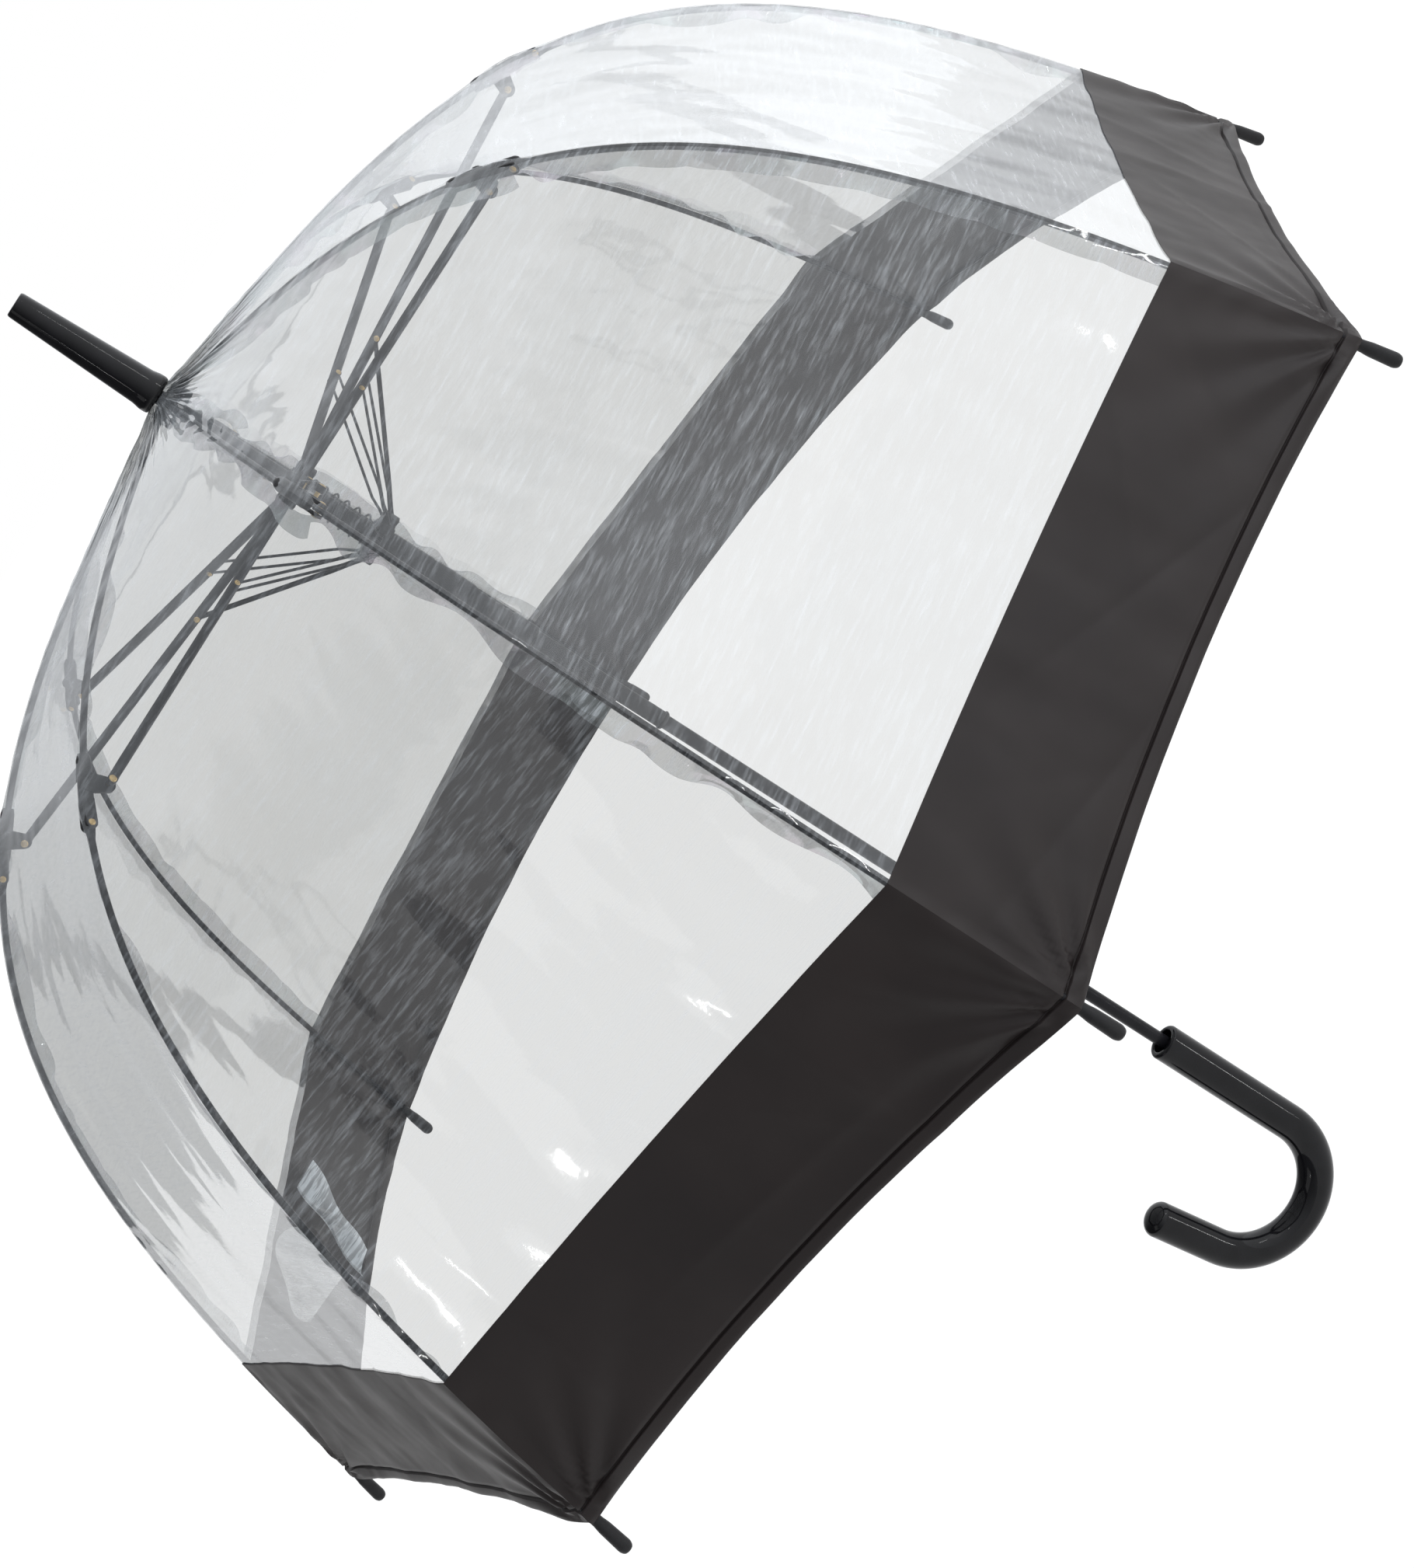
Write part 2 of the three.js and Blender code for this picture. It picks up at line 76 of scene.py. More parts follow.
# The rib's line: the same curve as the frame's, and stations along it.
RIB_CURVE = np.array([RIB_START, [287 * MM, -19.5 * MM], [364 * MM, -95 * MM], [448 * MM, -404 * MM]])
RIB_RADIUS = 1.7 * MM
SLEEVE_FROM, SLEEVE_TO = 220 * MM, 248 * MM
LUG_AT, LUG_DROP, LUG_SIDE = 236 * MM, 10 * MM, (1.6 * MM, 3.8 * MM)
ELBOW_AT = 257 * MM
WELD_AT, RIM_AT = 569 * MM, 661 * MM
CAP_AT, RIB_END = 654 * MM, 663 * MM
STRETCHER_SIDE, RIVET_SHARE = 7.8 * MM, 0.345
GRIP_RADIUS, CROOK_RADIUS, CROOK_Z = 11 * MM, 43 * MM, -51 * MM
CROOK_TAIL, CROOK_LEAN = 42 * MM, math.radians(6.6)
MOUTH_Z, CAVITY_RADIUS, CAVITY_FLOOR = 48 * MM, 7.6 * MM, 30 * MM
BUTTON_GAP = 0.8 * MM
STRAP_RIB = 7


# Camera and light.

def add_camera():
    place = Vector((1.5014, 0.0228, 0.8308))
    aim = Vector((-0.9555, -0.0127, -0.2948)).normalized()
    up = Vector((-0.1705, 0.8392, 0.5165))
    right = aim.cross(up).normalized()
    data = bpy.data.cameras.new("camera")
    data.lens = 65.16
    data.shift_x = -0.0129
    data.shift_y = -0.0182
    camera = bpy.data.objects.new("camera", data)
    turn = Matrix((right, right.cross(aim), -aim)).transposed()
    camera.matrix_world = Matrix.Translation(place) @ turn.to_4x4()
    bpy.context.scene.collection.objects.link(camera)
    bpy.context.scene.camera = camera


def add_softbox(name, place, target, size, watts):
    data = bpy.data.lights.new(name, "AREA")
    data.shape = "RECTANGLE"
    data.size, data.size_y = size
    data.energy = watts
    lamp = bpy.data.objects.new(name, data)
    lamp.location = place
    lamp.rotation_euler = (Vector(target) - Vector(place)).to_track_quat("-Z", "Y").to_euler()
    bpy.context.scene.collection.objects.link(lamp)


def add_world():
    """White behind the object. What lights it is softer, and brighter towards +Y."""
    level, climb, least = 0.92, 1.1, 0.12
    world = bpy.data.worlds.new("studio")
    bpy.context.scene.world = world
    world.use_nodes = True
    tree = world.node_tree
    seen, shed = tree.nodes["Background"], tree.nodes.new("ShaderNodeBackground")
    seen.inputs["Color"].default_value = (1, 1, 1, 1)
    shed.inputs["Color"].default_value = (0.95, 0.97, 1, 1)
    place, split = tree.nodes.new("ShaderNodeTexCoord"), tree.nodes.new("ShaderNodeSeparateXYZ")
    slope, floor = tree.nodes.new("ShaderNodeMath"), tree.nodes.new("ShaderNodeMath")
    slope.operation, floor.operation = "MULTIPLY_ADD", "MAXIMUM"
    slope.inputs[1].default_value, slope.inputs[2].default_value = climb, level
    floor.inputs[1].default_value = least
    tree.links.new(place.outputs["Generated"], split.inputs[0])
    tree.links.new(split.outputs["Y"], slope.inputs[0])
    tree.links.new(slope.outputs[0], floor.inputs[0])
    tree.links.new(floor.outputs[0], shed.inputs["Strength"])
    path, mix = tree.nodes.new("ShaderNodeLightPath"), tree.nodes.new("ShaderNodeMixShader")
    tree.links.new(path.outputs["Is Camera Ray"], mix.inputs["Fac"])
    tree.links.new(shed.outputs[0], mix.inputs[1])
    tree.links.new(seen.outputs[0], mix.inputs[2])
    tree.links.new(mix.outputs[0], tree.nodes["World Output"].inputs["Surface"])


def add_studio():
    add_world()
    middle = (0, 0, 0.45)
    add_softbox("key", (2.2, 2.6, 2.9), middle, (2.4, 2.0), 7)
    add_softbox("fill", (1.6, -3.2, 2.2), middle, (1.6, 2.4), 9)
    add_softbox("glint_over", (0.9, 2.4, 2.2), middle, (0.03, 0.16), 0.5)
    add_softbox("glint_front", (2.3, 0.9, 1.9), middle, (0.03, 0.12), 0.5)
    add_softbox("glint_side", (1.4, -2.0, 0.9), middle, (0.03, 0.12), 0.5)
    add_softbox("glint_low", (1.3, 1.7, -1.0), (0, 0, 0), (0.04, 0.5), 3)
    add_softbox("glint_level", (1.2, 1.9, 0.75), (0, 0, 0.7), (0.03, 0.5), 2)
    bpy.context.scene.cycles.transparent_max_bounces = 32
    bpy.context.scene.view_settings.view_transform = "Standard"


def add_floor():
    data = bpy.data.meshes.new("floor")
    half, level = 60.0, -2.6
    corners = [(-half, -half, level), (half, -half, level), (half, half, level), (-half, half, level)]
    data.from_pydata(corners, [], [(0, 1, 2, 3)])
    floor = bpy.data.objects.new("floor", data)
    paint = Shader("floor")
    lit = {"Emission_Color": (1, 1, 1, 1), "Emission_Strength": 0.78}
    data.materials.append(paint.finish(paint.principled((0.3, 0.3, 0.3), 0.9, **lit)))
    bpy.context.scene.collection.objects.link(floor)


# Materials.

class Shader:
    """A material's node tree, built a node at a time. An input holds a value or another's output."""

    def __init__(self, name):
        self.material = bpy.data.materials.new(name)
        self.material.use_nodes = True
        self.tree = self.material.node_tree
        self.tree.nodes.clear()
        self.place = self.node("TexCoord").outputs["Object"]

    def node(self, kind, inputs=None, **settings):
        node = self.tree.nodes.new("ShaderNode" + kind)
        for key, value in settings.items():
            setattr(node, key, value)
        for key, value in (inputs or {}).items():
            if isinstance(value, bpy.types.NodeSocket):
                self.tree.links.new(value, node.inputs[key])
            else:
                node.inputs[key].default_value = value
        return node

    def noise(self, scale, detail=3.0, rough=0.5, stretch=None):
        place = self.place
        if stretch:
            place = self.node("Mapping", {"Vector": place, "Scale": stretch}).outputs[0]
        inputs = {"Vector": place, "Scale": scale, "Detail": detail, "Roughness": rough}
        return self.node("TexNoise", inputs).outputs[0]

    def ramp(self, value, low, high, to_low=0.0, to_high=1.0):
        inputs = {0: value, 1: low, 2: high, 3: to_low, 4: to_high}
        return self.node("MapRange", inputs).outputs[0]

    def blend(self, share, first, second):
        inputs = {0: share, 6: (*first, 1), 7: (*second, 1)}
        return self.node("Mix", inputs, data_type="RGBA").outputs[2]

    def bump(self, height, strength, distance, normal=None):
        inputs = {"Height": height, "Strength": strength, "Distance": distance}
        if normal:
            inputs["Normal"] = normal
        return self.node("Bump", inputs).outputs[0]

    def principled(self, colour, roughness, **more):
        inputs = {"Roughness": roughness}
        inputs["Base Color"] = (*colour, 1) if isinstance(colour, tuple) else colour
        inputs.update({key.replace("_", " "): value for key, value in more.items()})
        return self.node("BsdfPrincipled", inputs).outputs[0]

    def finish(self, surface):
        self.node("OutputMaterial", {"Surface": surface})
        return self.material


def tinted(colour, factor):
    return tuple(min(1.0, channel * factor) for channel in colour)


def solid_look(name, colour, rough, grain, bump, metal=0.0, spread=0.35, shine=0.3):
    """A moulded, painted or plated finish: mottled colour, rubbed roughness and a fine grain."""
    look = Shader(name)
    mottle = look.ramp(look.noise(60, 4), 0.3, 0.7)
    base = look.blend(mottle, tinted(colour, 1 - spread), tinted(colour, 1 + spread))
    rubbed = look.ramp(look.noise(140, 5, 0.65), 0.35, 0.75, rough[0], rough[1])
    normal = look.bump(look.noise(grain, 4, 0.6), bump, 0.0004)
    surface = look.principled(base, rubbed, Normal=normal, Metallic=metal, Specular_IOR_Level=shine)
    return look.finish(surface)


def film_look(name, haze, tint=0.72, rainbow=0.0):
    """Clear PVC: it dims what is behind it, shines at grazing angles, and is milky and scuffed."""
    grazing_power, grazing_milk, most_gleam = 4.0, 0.42, 0.3
    look = Shader(name)
    soft = look.bump(look.noise(38, 3, 0.5), 0.1, 0.0012)
    fine = look.bump(look.noise(210, 3, 0.6), 0.1, 0.0003, soft)
    cloud = look.ramp(look.noise(9, 3), 0.35, 0.7, 0.5 * haze, 1.35 * haze)
    speckle = look.ramp(look.noise(70, 3, 0.6, (1, 1, 9)), 0.5, 0.72, 0, 2.2 * haze)
    scuffs = look.ramp(look.noise(24, 4, 0.7, (1, 1, 16)), 0.52, 0.64, 0, 1.5 * haze)
    milk = look.node("Math", {0: cloud, 1: speckle}, operation="ADD").outputs[0]
    milk = look.node("Math", {0: milk, 1: scuffs}, operation="ADD").outputs[0]
    facing = look.node("LayerWeight", {"Blend": 0.5, "Normal": fine}).outputs["Facing"]
    glare = look.node("Math", {0: facing, 1: grazing_power}, operation="POWER").outputs[0]
    inputs = {0: glare, 1: grazing_milk, 2: milk}
    veil = look.node("Math", inputs, operation="MULTIPLY_ADD", use_clamp=True).outputs[0]
    clear = look.node("BsdfTransparent", {"Color": (tint, tint, tint * 0.985, 1)}).outputs[0]
    body = look.principled((0.86, 0.92, 0.98), 0.3, Normal=fine)
    hazy = look.node("MixShader", {0: veil, 1: clear, 2: body}).outputs[0]
    gleam = (1, 1, 1, 1)
    if rainbow:
        hue = look.ramp(look.noise(45, 2), 0.4, 0.6)
        gleam = look.blend(hue, (1, 1 - rainbow, 1), (1 - rainbow, 1, 1))
    shine = look.node("BsdfGlossy", {"Color": gleam, "Roughness": 0.07, "Normal": fine}).outputs[0]
    edge = look.node("Fresnel", {"IOR": 1.5, "Normal": fine}).outputs[0]
    edge = look.node("Math", {0: edge, 1: most_gleam}, operation="MINIMUM").outputs[0]
    return look.finish(look.node("MixShader", {0: edge, 1: hazy, 2: shine}).outputs[0])


def vinyl_look():
    """Black PVC sheet: charcoal, softly shiny, with shallow waves and a fine grain."""
    look = Shader("black_vinyl")
    mottle = look.ramp(look.noise(14, 4), 0.3, 0.7)
    base = look.blend(mottle, (0.0125, 0.0095, 0.0095), (0.0185, 0.014, 0.0135))
    rough = look.ramp(look.noise(30, 5, 0.6), 0.3, 0.7, 0.44, 0.52)
    soft = look.bump(look.noise(34, 3), 0.08, 0.0015)
    normal = look.bump(look.noise(700, 3, 0.6), 0.25, 0.00012, soft)
    return look.finish(look.principled(base, rough, Normal=normal, Specular_IOR_Level=0.25))


LOOKS = {}


def make_looks():
    LOOKS["film"] = film_look("clear_film", 0.05)
    LOOKS["flap"] = film_look("seam_flap", 0.11, 0.64, 0.12)
    LOOKS["strap"] = film_look("strap_film", 0.2, 0.86)
    LOOKS["tab"] = film_look("frosted_tab", 0.5, 0.9)
    LOOKS["vinyl"] = vinyl_look()
    LOOKS["steel"] = solid_look("black_steel", (0.01, 0.01, 0.012), (0.2, 0.36), 900, 0.15, shine=0.14)
    LOOKS["spring"] = solid_look("spring_steel", (0.03, 0.03, 0.034), (0.24, 0.4), 700, 0.2, 0.6)
    LOOKS["nylon"] = solid_look("black_nylon", (0.016, 0.016, 0.017), (0.34, 0.52), 1100, 0.3, shine=0.16)
    LOOKS["gloss"] = solid_look("gloss_black", (0.006, 0.006, 0.007), (0.06, 0.14), 260, 0.06, shine=0.22)
    LOOKS["brass"] = solid_look("brass", (0.5, 0.36, 0.16), (0.25, 0.42), 800, 0.2, 1.0, 0.2)


# Shapes, built in a rib's plane or about the shaft.

class Shape:
    """Points and faces, before they become a mesh."""

    def __init__(self, points=(), faces=()):
        self.points = np.array(points, float).reshape(-1, 3)
        self.faces = [tuple(face) for face in faces]

    def add(self, other):
        first = len(self.points)
        self.points = np.vstack([self.points, other.points])
        self.faces += [tuple(first + corner for corner in face) for face in other.faces]
        return self

    def moved(self, matrix):
        turn = np.array(matrix, float)
        return Shape(self.points @ turn[:3, :3].T + turn[:3, 3], self.faces)


def joined(*shapes):
    whole = Shape()
    for shape in shapes:
        whole.add(shape)
    return whole


def rounded(profile, radius, steps=3):
    """An open outline with each inner corner turned into a small arc."""
    points = [np.array(point, float) for point in profile]
    made = [points[0]]
    for before, corner, after in zip(points, points[1:], points[2:]):
        back, on = before - corner, after - corner
        reach = min(radius, 0.42 * np.linalg.norm(back), 0.42 * np.linalg.norm(on))
        start = corner + back / max(np.linalg.norm(back), 1e-9) * reach
        end = corner + on / max(np.linalg.norm(on), 1e-9) * reach
        for share in np.linspace(0, 1, steps + 1):
            made.append((1 - share) ** 2 * start + 2 * share * (1 - share) * corner + share**2 * end)
    return made + [points[-1]]


def skin(rings, sides, loop=False):
    """The faces between rings of points, each with the same number of sides."""
    faces = []
    for ring in range(rings if loop else rings - 1):
        low, high = ring * sides, (ring + 1) % rings * sides
        for side in range(sides):
            after = (side + 1) % sides
            faces.append((low + side, low + after, high + after, high + side))
    return faces


def turned_along(path, profile, sides=32, loop=False):
    """Rings of the profile's (station, radius) pairs along a path, which gives a point and two axes."""
    angles = np.arange(sides) * 2 * math.pi / sides
    rings = []
    for station, radius in profile:
        centre, across, out = path(station)
        rings.append(centre + radius * (np.outer(np.cos(angles), across) + np.outer(np.sin(angles), out)))
    points = np.vstack(rings)
    faces = skin(len(rings), sides, loop)
    if not loop:
        faces.append(tuple(range(sides))[::-1])
        faces.append(tuple(range(len(points) - sides, len(points))))
    return Shape(points, faces)


def upright(station):
    return np.array([0, 0, station]), np.array([1.0, 0, 0]), np.array([0, 1.0, 0])


def crosswise(x, z):
    """A path along Y through a point of the rib's plane."""
    return lambda station: (np.array([x, station, z]), np.array([0, 0, 1.0]), np.array([1.0, 0, 0]))


def lathe(profile, sides=48, edge=0.4 * MM, loop=False):
    """A solid of revolution about the shaft from (radius, height) pairs."""
    outline = rounded([(height, radius) for radius, height in profile], edge)
    return turned_along(upright, outline, sides, loop)


def pin(x, z, low, high, radius, edge=0.3 * MM, sides=20):
    """A short cylinder across the rib's plane."""
    outline = [(low, 0.02 * MM), (low, radius), (high, radius), (high, 0.02 * MM)]
    return turned_along(crosswise(x, z), rounded(outline, edge), sides)


def wire(points, radius, sides=12):
    """A round wire through points, with its frame carried along without twist."""
    points = np.array(points, float)
    along = np.gradient(points, axis=0)
    along /= np.linalg.norm(along, axis=1)[:, None]
    across = np.cross(along[0], [0.3, 0.5, 0.81])
    frames = []
    for direction in along:
        across = across - direction * (across @ direction)
        across /= np.linalg.norm(across)
        frames.append(across)
    stations = [(0, 0.3 * radius), (0, 0.85 * radius)]
    stations += [(index, radius) for index in range(1, len(points) - 1)]
    last = len(points) - 1
    stations += [(last, 0.85 * radius), (last, 0.3 * radius)]
    return turned_along(
        lambda index: (points[index], frames[index], np.cross(along[index], frames[index])),
        stations,
        sides,
    )


def smoothed(corners, radius, steps=6, spacing=12 * MM):
    """A polyline with rounded corners and a point at least every spacing."""
    bends = rounded(corners, radius, steps)
    made = [bends[0]]
    for start, end in zip(bends, bends[1:]):
        count = max(1, math.ceil(np.linalg.norm(end - start) / spacing))
        made += [start + (end - start) * step / count for step in range(1, count + 1)]
    return [made[0]] + [b for a, b in zip(made, made[1:]) if np.linalg.norm(b - a) > 1e-6]


def plate(outlines, low, high, bevel=0.25 * MM):
    """A flat plate with soft edges: outlines in the XZ plane, from low to high along Y."""
    curve = bpy.data.curves.new("outline", "CURVE")
    curve.dimensions = "2D"
    curve.fill_mode = "BOTH"
    curve.extrude = (high - low) / 2 - bevel
    curve.bevel_depth = bevel
    curve.bevel_resolution = 1
    curve.offset = -bevel
    for outline in outlines:
        spline = curve.splines.new("POLY")
        spline.points.add(len(outline) - 1)
        spline.points.foreach_set("co", [value for x, z in outline for value in (x, z, 0, 1)])
        spline.use_cyclic_u = True
    holder = bpy.data.objects.new("outline", curve)
    mesh = bpy.data.meshes.new_from_object(holder)
    work = bmesh.new()
    work.from_mesh(mesh)
    bmesh.ops.remove_doubles(work, verts=work.verts, dist=0.01 * MM)
    points = [(vert.co.x, (low + high) / 2 - vert.co.z, vert.co.y) for vert in work.verts]
    faces = [[vert.index for vert in face.verts] for face in work.faces]
    work.free()
    bpy.data.objects.remove(holder)
    return Shape(points, faces)


def arc(centre, radius, start, end, steps):
    return [
        (centre[0] + radius * math.cos(angle), centre[1] + radius * math.sin(angle))
        for angle in np.linspace(start, end, steps)
    ]


def stadium(start, end, first_radius, last_radius):
    """The outline of a tongue with round ends, from one point to another."""
    lean = math.atan2(end[1] - start[1], end[0] - start[0])
    quarter = math.pi / 2
    return arc(start, first_radius, lean + quarter, lean + 3 * quarter, 10) + arc(
        end, last_radius, lean - quarter, lean + quarter, 10
    )


def piece(name, shape, look, body, replaces=(), matrix=None, smooth=40):
    """One shown mesh, riding on a body, with its faces turned outwards."""
    mesh = bpy.data.meshes.new(name)
    mesh.from_pydata(shape.points.tolist(), [], shape.faces)
    work = bmesh.new()
    work.from_mesh(mesh)
    bmesh.ops.recalc_face_normals(work, faces=work.faces)
    work.to_mesh(mesh)
    work.free()
    mesh.shade_smooth()
    mesh.set_sharp_from_angle(angle=math.radians(smooth))
    mesh.materials.append(LOOKS[look])
    made = bpy.data.objects.new(name, mesh)
    bpy.context.scene.collection.objects.link(made)
    if matrix is not None:
        made.matrix_world = matrix
    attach(made, body)
    if replaces:
        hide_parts(*replaces)
    return made


# The rib's line.

def sample_rib():
    share = np.linspace(0, 1, 4001)[:, None]
    rest = 1 - share
    line = (
        rest**3 * RIB_CURVE[0]
        + 3 * rest**2 * share * RIB_CURVE[1]
        + 3 * rest * share**2 * RIB_CURVE[2]
        + share**3 * RIB_CURVE[3]
    )
    lengths = np.concatenate([[0], np.cumsum(np.linalg.norm(np.diff(line, axis=0), axis=1))])
    return line, lengths


RIB_LINE, RIB_LENGTHS = sample_rib()


def rib_tangent(station):
    slopes = np.gradient(RIB_LINE, axis=0)
    slopes /= np.linalg.norm(slopes, axis=1)[:, None]
    near = np.clip(station, 0, RIB_LENGTHS[-1])
    along = np.stack([np.interp(near, RIB_LENGTHS, slopes[:, axis]) for axis in (0, 1)], -1)
    return along / np.linalg.norm(along, axis=-1, keepdims=True)


def rib_point(station, out=0.0):
    """Points at stations along the rib, moved outwards from its line. It runs straight past its ends."""
    station = np.asarray(station, float)
    near = np.clip(station, 0, RIB_LENGTHS[-1])
    point = np.stack([np.interp(near, RIB_LENGTHS, RIB_LINE[:, axis]) for axis in (0, 1)], -1)
    along = rib_tangent(station)
    normal = np.stack([-along[..., 1], along[..., 0]], -1)
    out = np.asarray(out, float)
    return point + along * (station - near)[..., None] + normal * out[..., None]


def rib_path(station):
    point, along = rib_point(station), rib_tangent(station)
    return np.array([point[0], 0, point[1]]), np.array([0, 1.0, 0]), np.array([-along[1], 0, along[0]])


def rib_matrix(index):
    return Matrix.Translation((0, 0, NOTCH_Z)) @ Matrix.Rotation(index * STEP, 4, "Z")


def in_plane(point, side=0.0):
    return np.array([point[0], side, point[1]])


# Pieces on one rib.

LUG_PIVOT = rib_point(LUG_AT, -LUG_DROP)
STRETCHER_LENGTH = float(np.linalg.norm(LUG_PIVOT - CROWN))


def upper_rib():
    ends = rounded([(0, 0.3 * MM), (0, RIB_RADIUS), (SLEEVE_TO - MM, RIB_RADIUS)], 0.4 * MM)
    middle = [(station, RIB_RADIUS) for station in np.linspace(6 * MM, SLEEVE_TO - 2 * MM, 46)]
    rod = turned_along(rib_path, ends[:-1] + middle, 16)
    return joined(rod, pin(*RIB_START, -RIB_RADIUS, RIB_RADIUS, 2.1 * MM))


def rib_connector():
    bore, wall = 2.3 * MM, 3.6 * MM
    profile = [
        (SLEEVE_FROM + MM, bore),
        (SLEEVE_FROM, bore),
        (SLEEVE_FROM, wall - 0.7 * MM),
        (SLEEVE_FROM + 3 * MM, wall),
        (SLEEVE_TO - 2 * MM, wall),
        (SLEEVE_TO, wall - 0.4 * MM),
        (SLEEVE_TO, bore),
        (SLEEVE_FROM + 2 * MM, bore),
    ]
    sleeve = turned_along(rib_path, rounded(profile, 0.6 * MM), 28, loop=True)
    root, foot = rib_point(LUG_AT, -1.5 * MM), rib_point(SLEEVE_TO - 3 * MM)
    lug = plate([stadium(root, LUG_PIVOT, 5.2 * MM, 4 * MM)], *LUG_SIDE)
    shape = joined(sleeve, lug)
    for low, high in ((1.55 * MM, 3.3 * MM), (-3.3 * MM, -1.55 * MM)):
        shape.add(plate([stadium(foot, ELBOW, 2.8 * MM, 3.1 * MM)], low, high))
    return shape


def lower_rib():
    start = ELBOW_AT + 5 * MM
    middle = [(station, RIB_RADIUS) for station in np.linspace(start, RIB_END, 70)]
    profile = [(start, 0.3 * MM)] + middle + [(RIB_END, 0.3 * MM)]
    tongue = stadium(ELBOW, rib_point(start + 3 * MM), 2.7 * MM, 1.4 * MM)
    return joined(turned_along(rib_path, profile, 16), plate([tongue], -1.2 * MM, 1.2 * MM))


def tip_cap():
    bore, neck, head, length = 2.05 * MM, 2.7 * MM, 3.7 * MM, 28 * MM
    outline = [
        (11 * MM, 0.2 * MM),
        (11 * MM, bore),
        (0, bore),
        (0, neck),
        (1.5 * MM, neck + 0.2 * MM),
        (8 * MM, neck + 0.2 * MM),
        (12 * MM, head - 0.3 * MM),
        (length - 3 * MM, head),
        (length - 0.6 * MM, head * 0.72),
        (length, 0.2 * MM),
    ]
    return turned_along(lambda s: rib_path(CAP_AT + s), rounded(outline, 1.2 * MM), 28)


def along_stretcher(shape):
    """Turns a bar along +X, from the crown's pivot, so that it ends beside the connector's lug."""
    reach = LUG_PIVOT - CROWN
    lean = math.atan2(reach[1], reach[0])
    points = shape.points.copy()
    points[:, 1] += STRETCHER_SIDE * points[:, 0] / STRETCHER_LENGTH
    turn = Matrix.Translation(in_plane(CROWN)) @ Matrix.Rotation(-lean, 4, "Y")
    return Shape(points, shape.faces).moved(turn)


def stretcher():
    """A rolled steel channel, pinched to a flat tongue with an eye at each end."""
    side, deep, wall, neck = 2.8 * MM, 2.3 * MM, 0.9 * MM, 7 * MM
    bend, end_run = 1.1 * MM, 20 * MM
    lip = [(side - wall, deep), (side, deep)]
    outer = lip + [(side, bend - deep), (side - bend, -deep), (0, -deep)]
    outer = rounded(outer, 0.35 * MM, 2)[1:-1]
    inner = [(0, wall - deep), (side - bend, wall - deep)]
    inner += [(side - wall, bend + 0.3 * MM - deep), lip[0]]
    inner = rounded(inner, 0.3 * MM, 2)[1:-1]
    flip = np.array([-1, 1])
    section = np.array(outer + [point * flip for point in (inner + outer)[::-1]] + inner)
    stations = [(neck - 3 * MM, 0.6), (neck, 0.62), (neck + 6 * MM, 1)]
    stations += [(x, 1) for x in np.linspace(end_run, STRETCHER_LENGTH - end_run, 12)]
    stations += [(STRETCHER_LENGTH - x, width) for x, width in stations[2::-1]]
    points = [(x, y * width, z) for x, width in stations for y, z in section]
    shape = Shape(points, skin(len(stations), len(section)))
    for near, far in ((0, neck + 4 * MM), (STRETCHER_LENGTH, STRETCHER_LENGTH - neck - 4 * MM)):
        shape.add(plate([stadium((near, 0), (far, 0), 2.5 * MM, 1.6 * MM)], -1.7 * MM, 1.7 * MM))
    return along_stretcher(shape)


RIVET_POINT = CROWN + (LUG_PIVOT - CROWN) * RIVET_SHARE


def strut():
    """A hairpin of wire: its bar turns in the collar and its legs straddle the stretcher."""
    start, end = in_plane(COLLAR), in_plane(RIVET_POINT, STRETCHER_SIDE * RIVET_SHARE)
    reach = end - start

    def at(share, side):
        return start + reach * share + np.array([0, side, 0])

    root, spread = 1.6 * MM, 4.3 * MM
    corners = [at(1, -spread), at(0.185, -spread), at(0.075, -root), at(0, -root)]
    corners += [at(0, root), at(0.075, root), at(0.185, spread), at(1, spread)]
    shape = wire(smoothed(corners, 1.6 * MM, 5, 20 * MM), 0.8 * MM, 10)
    for low in (-5.0 * MM, 3.5 * MM):
        shape.add(pin(end[0], end[2], end[1] + low, end[1] + low + 1.5 * MM, 2 * MM))
    return shape


def rivet(x, z, low, high, radius, head):
    """A shank with a domed head on each side."""
    crown = 0.6 * MM
    outline = [(low - crown, 0.05 * MM), (low - 0.8 * crown, 0.6 * head), (low, head), (low, radius)]
    outline += [(high, radius), (high, head), (high + 0.8 * crown, 0.6 * head), (high + crown, 0.05 * MM)]
    return turned_along(crosswise(x, z), rounded(outline, 0.25 * MM, 2), 20)


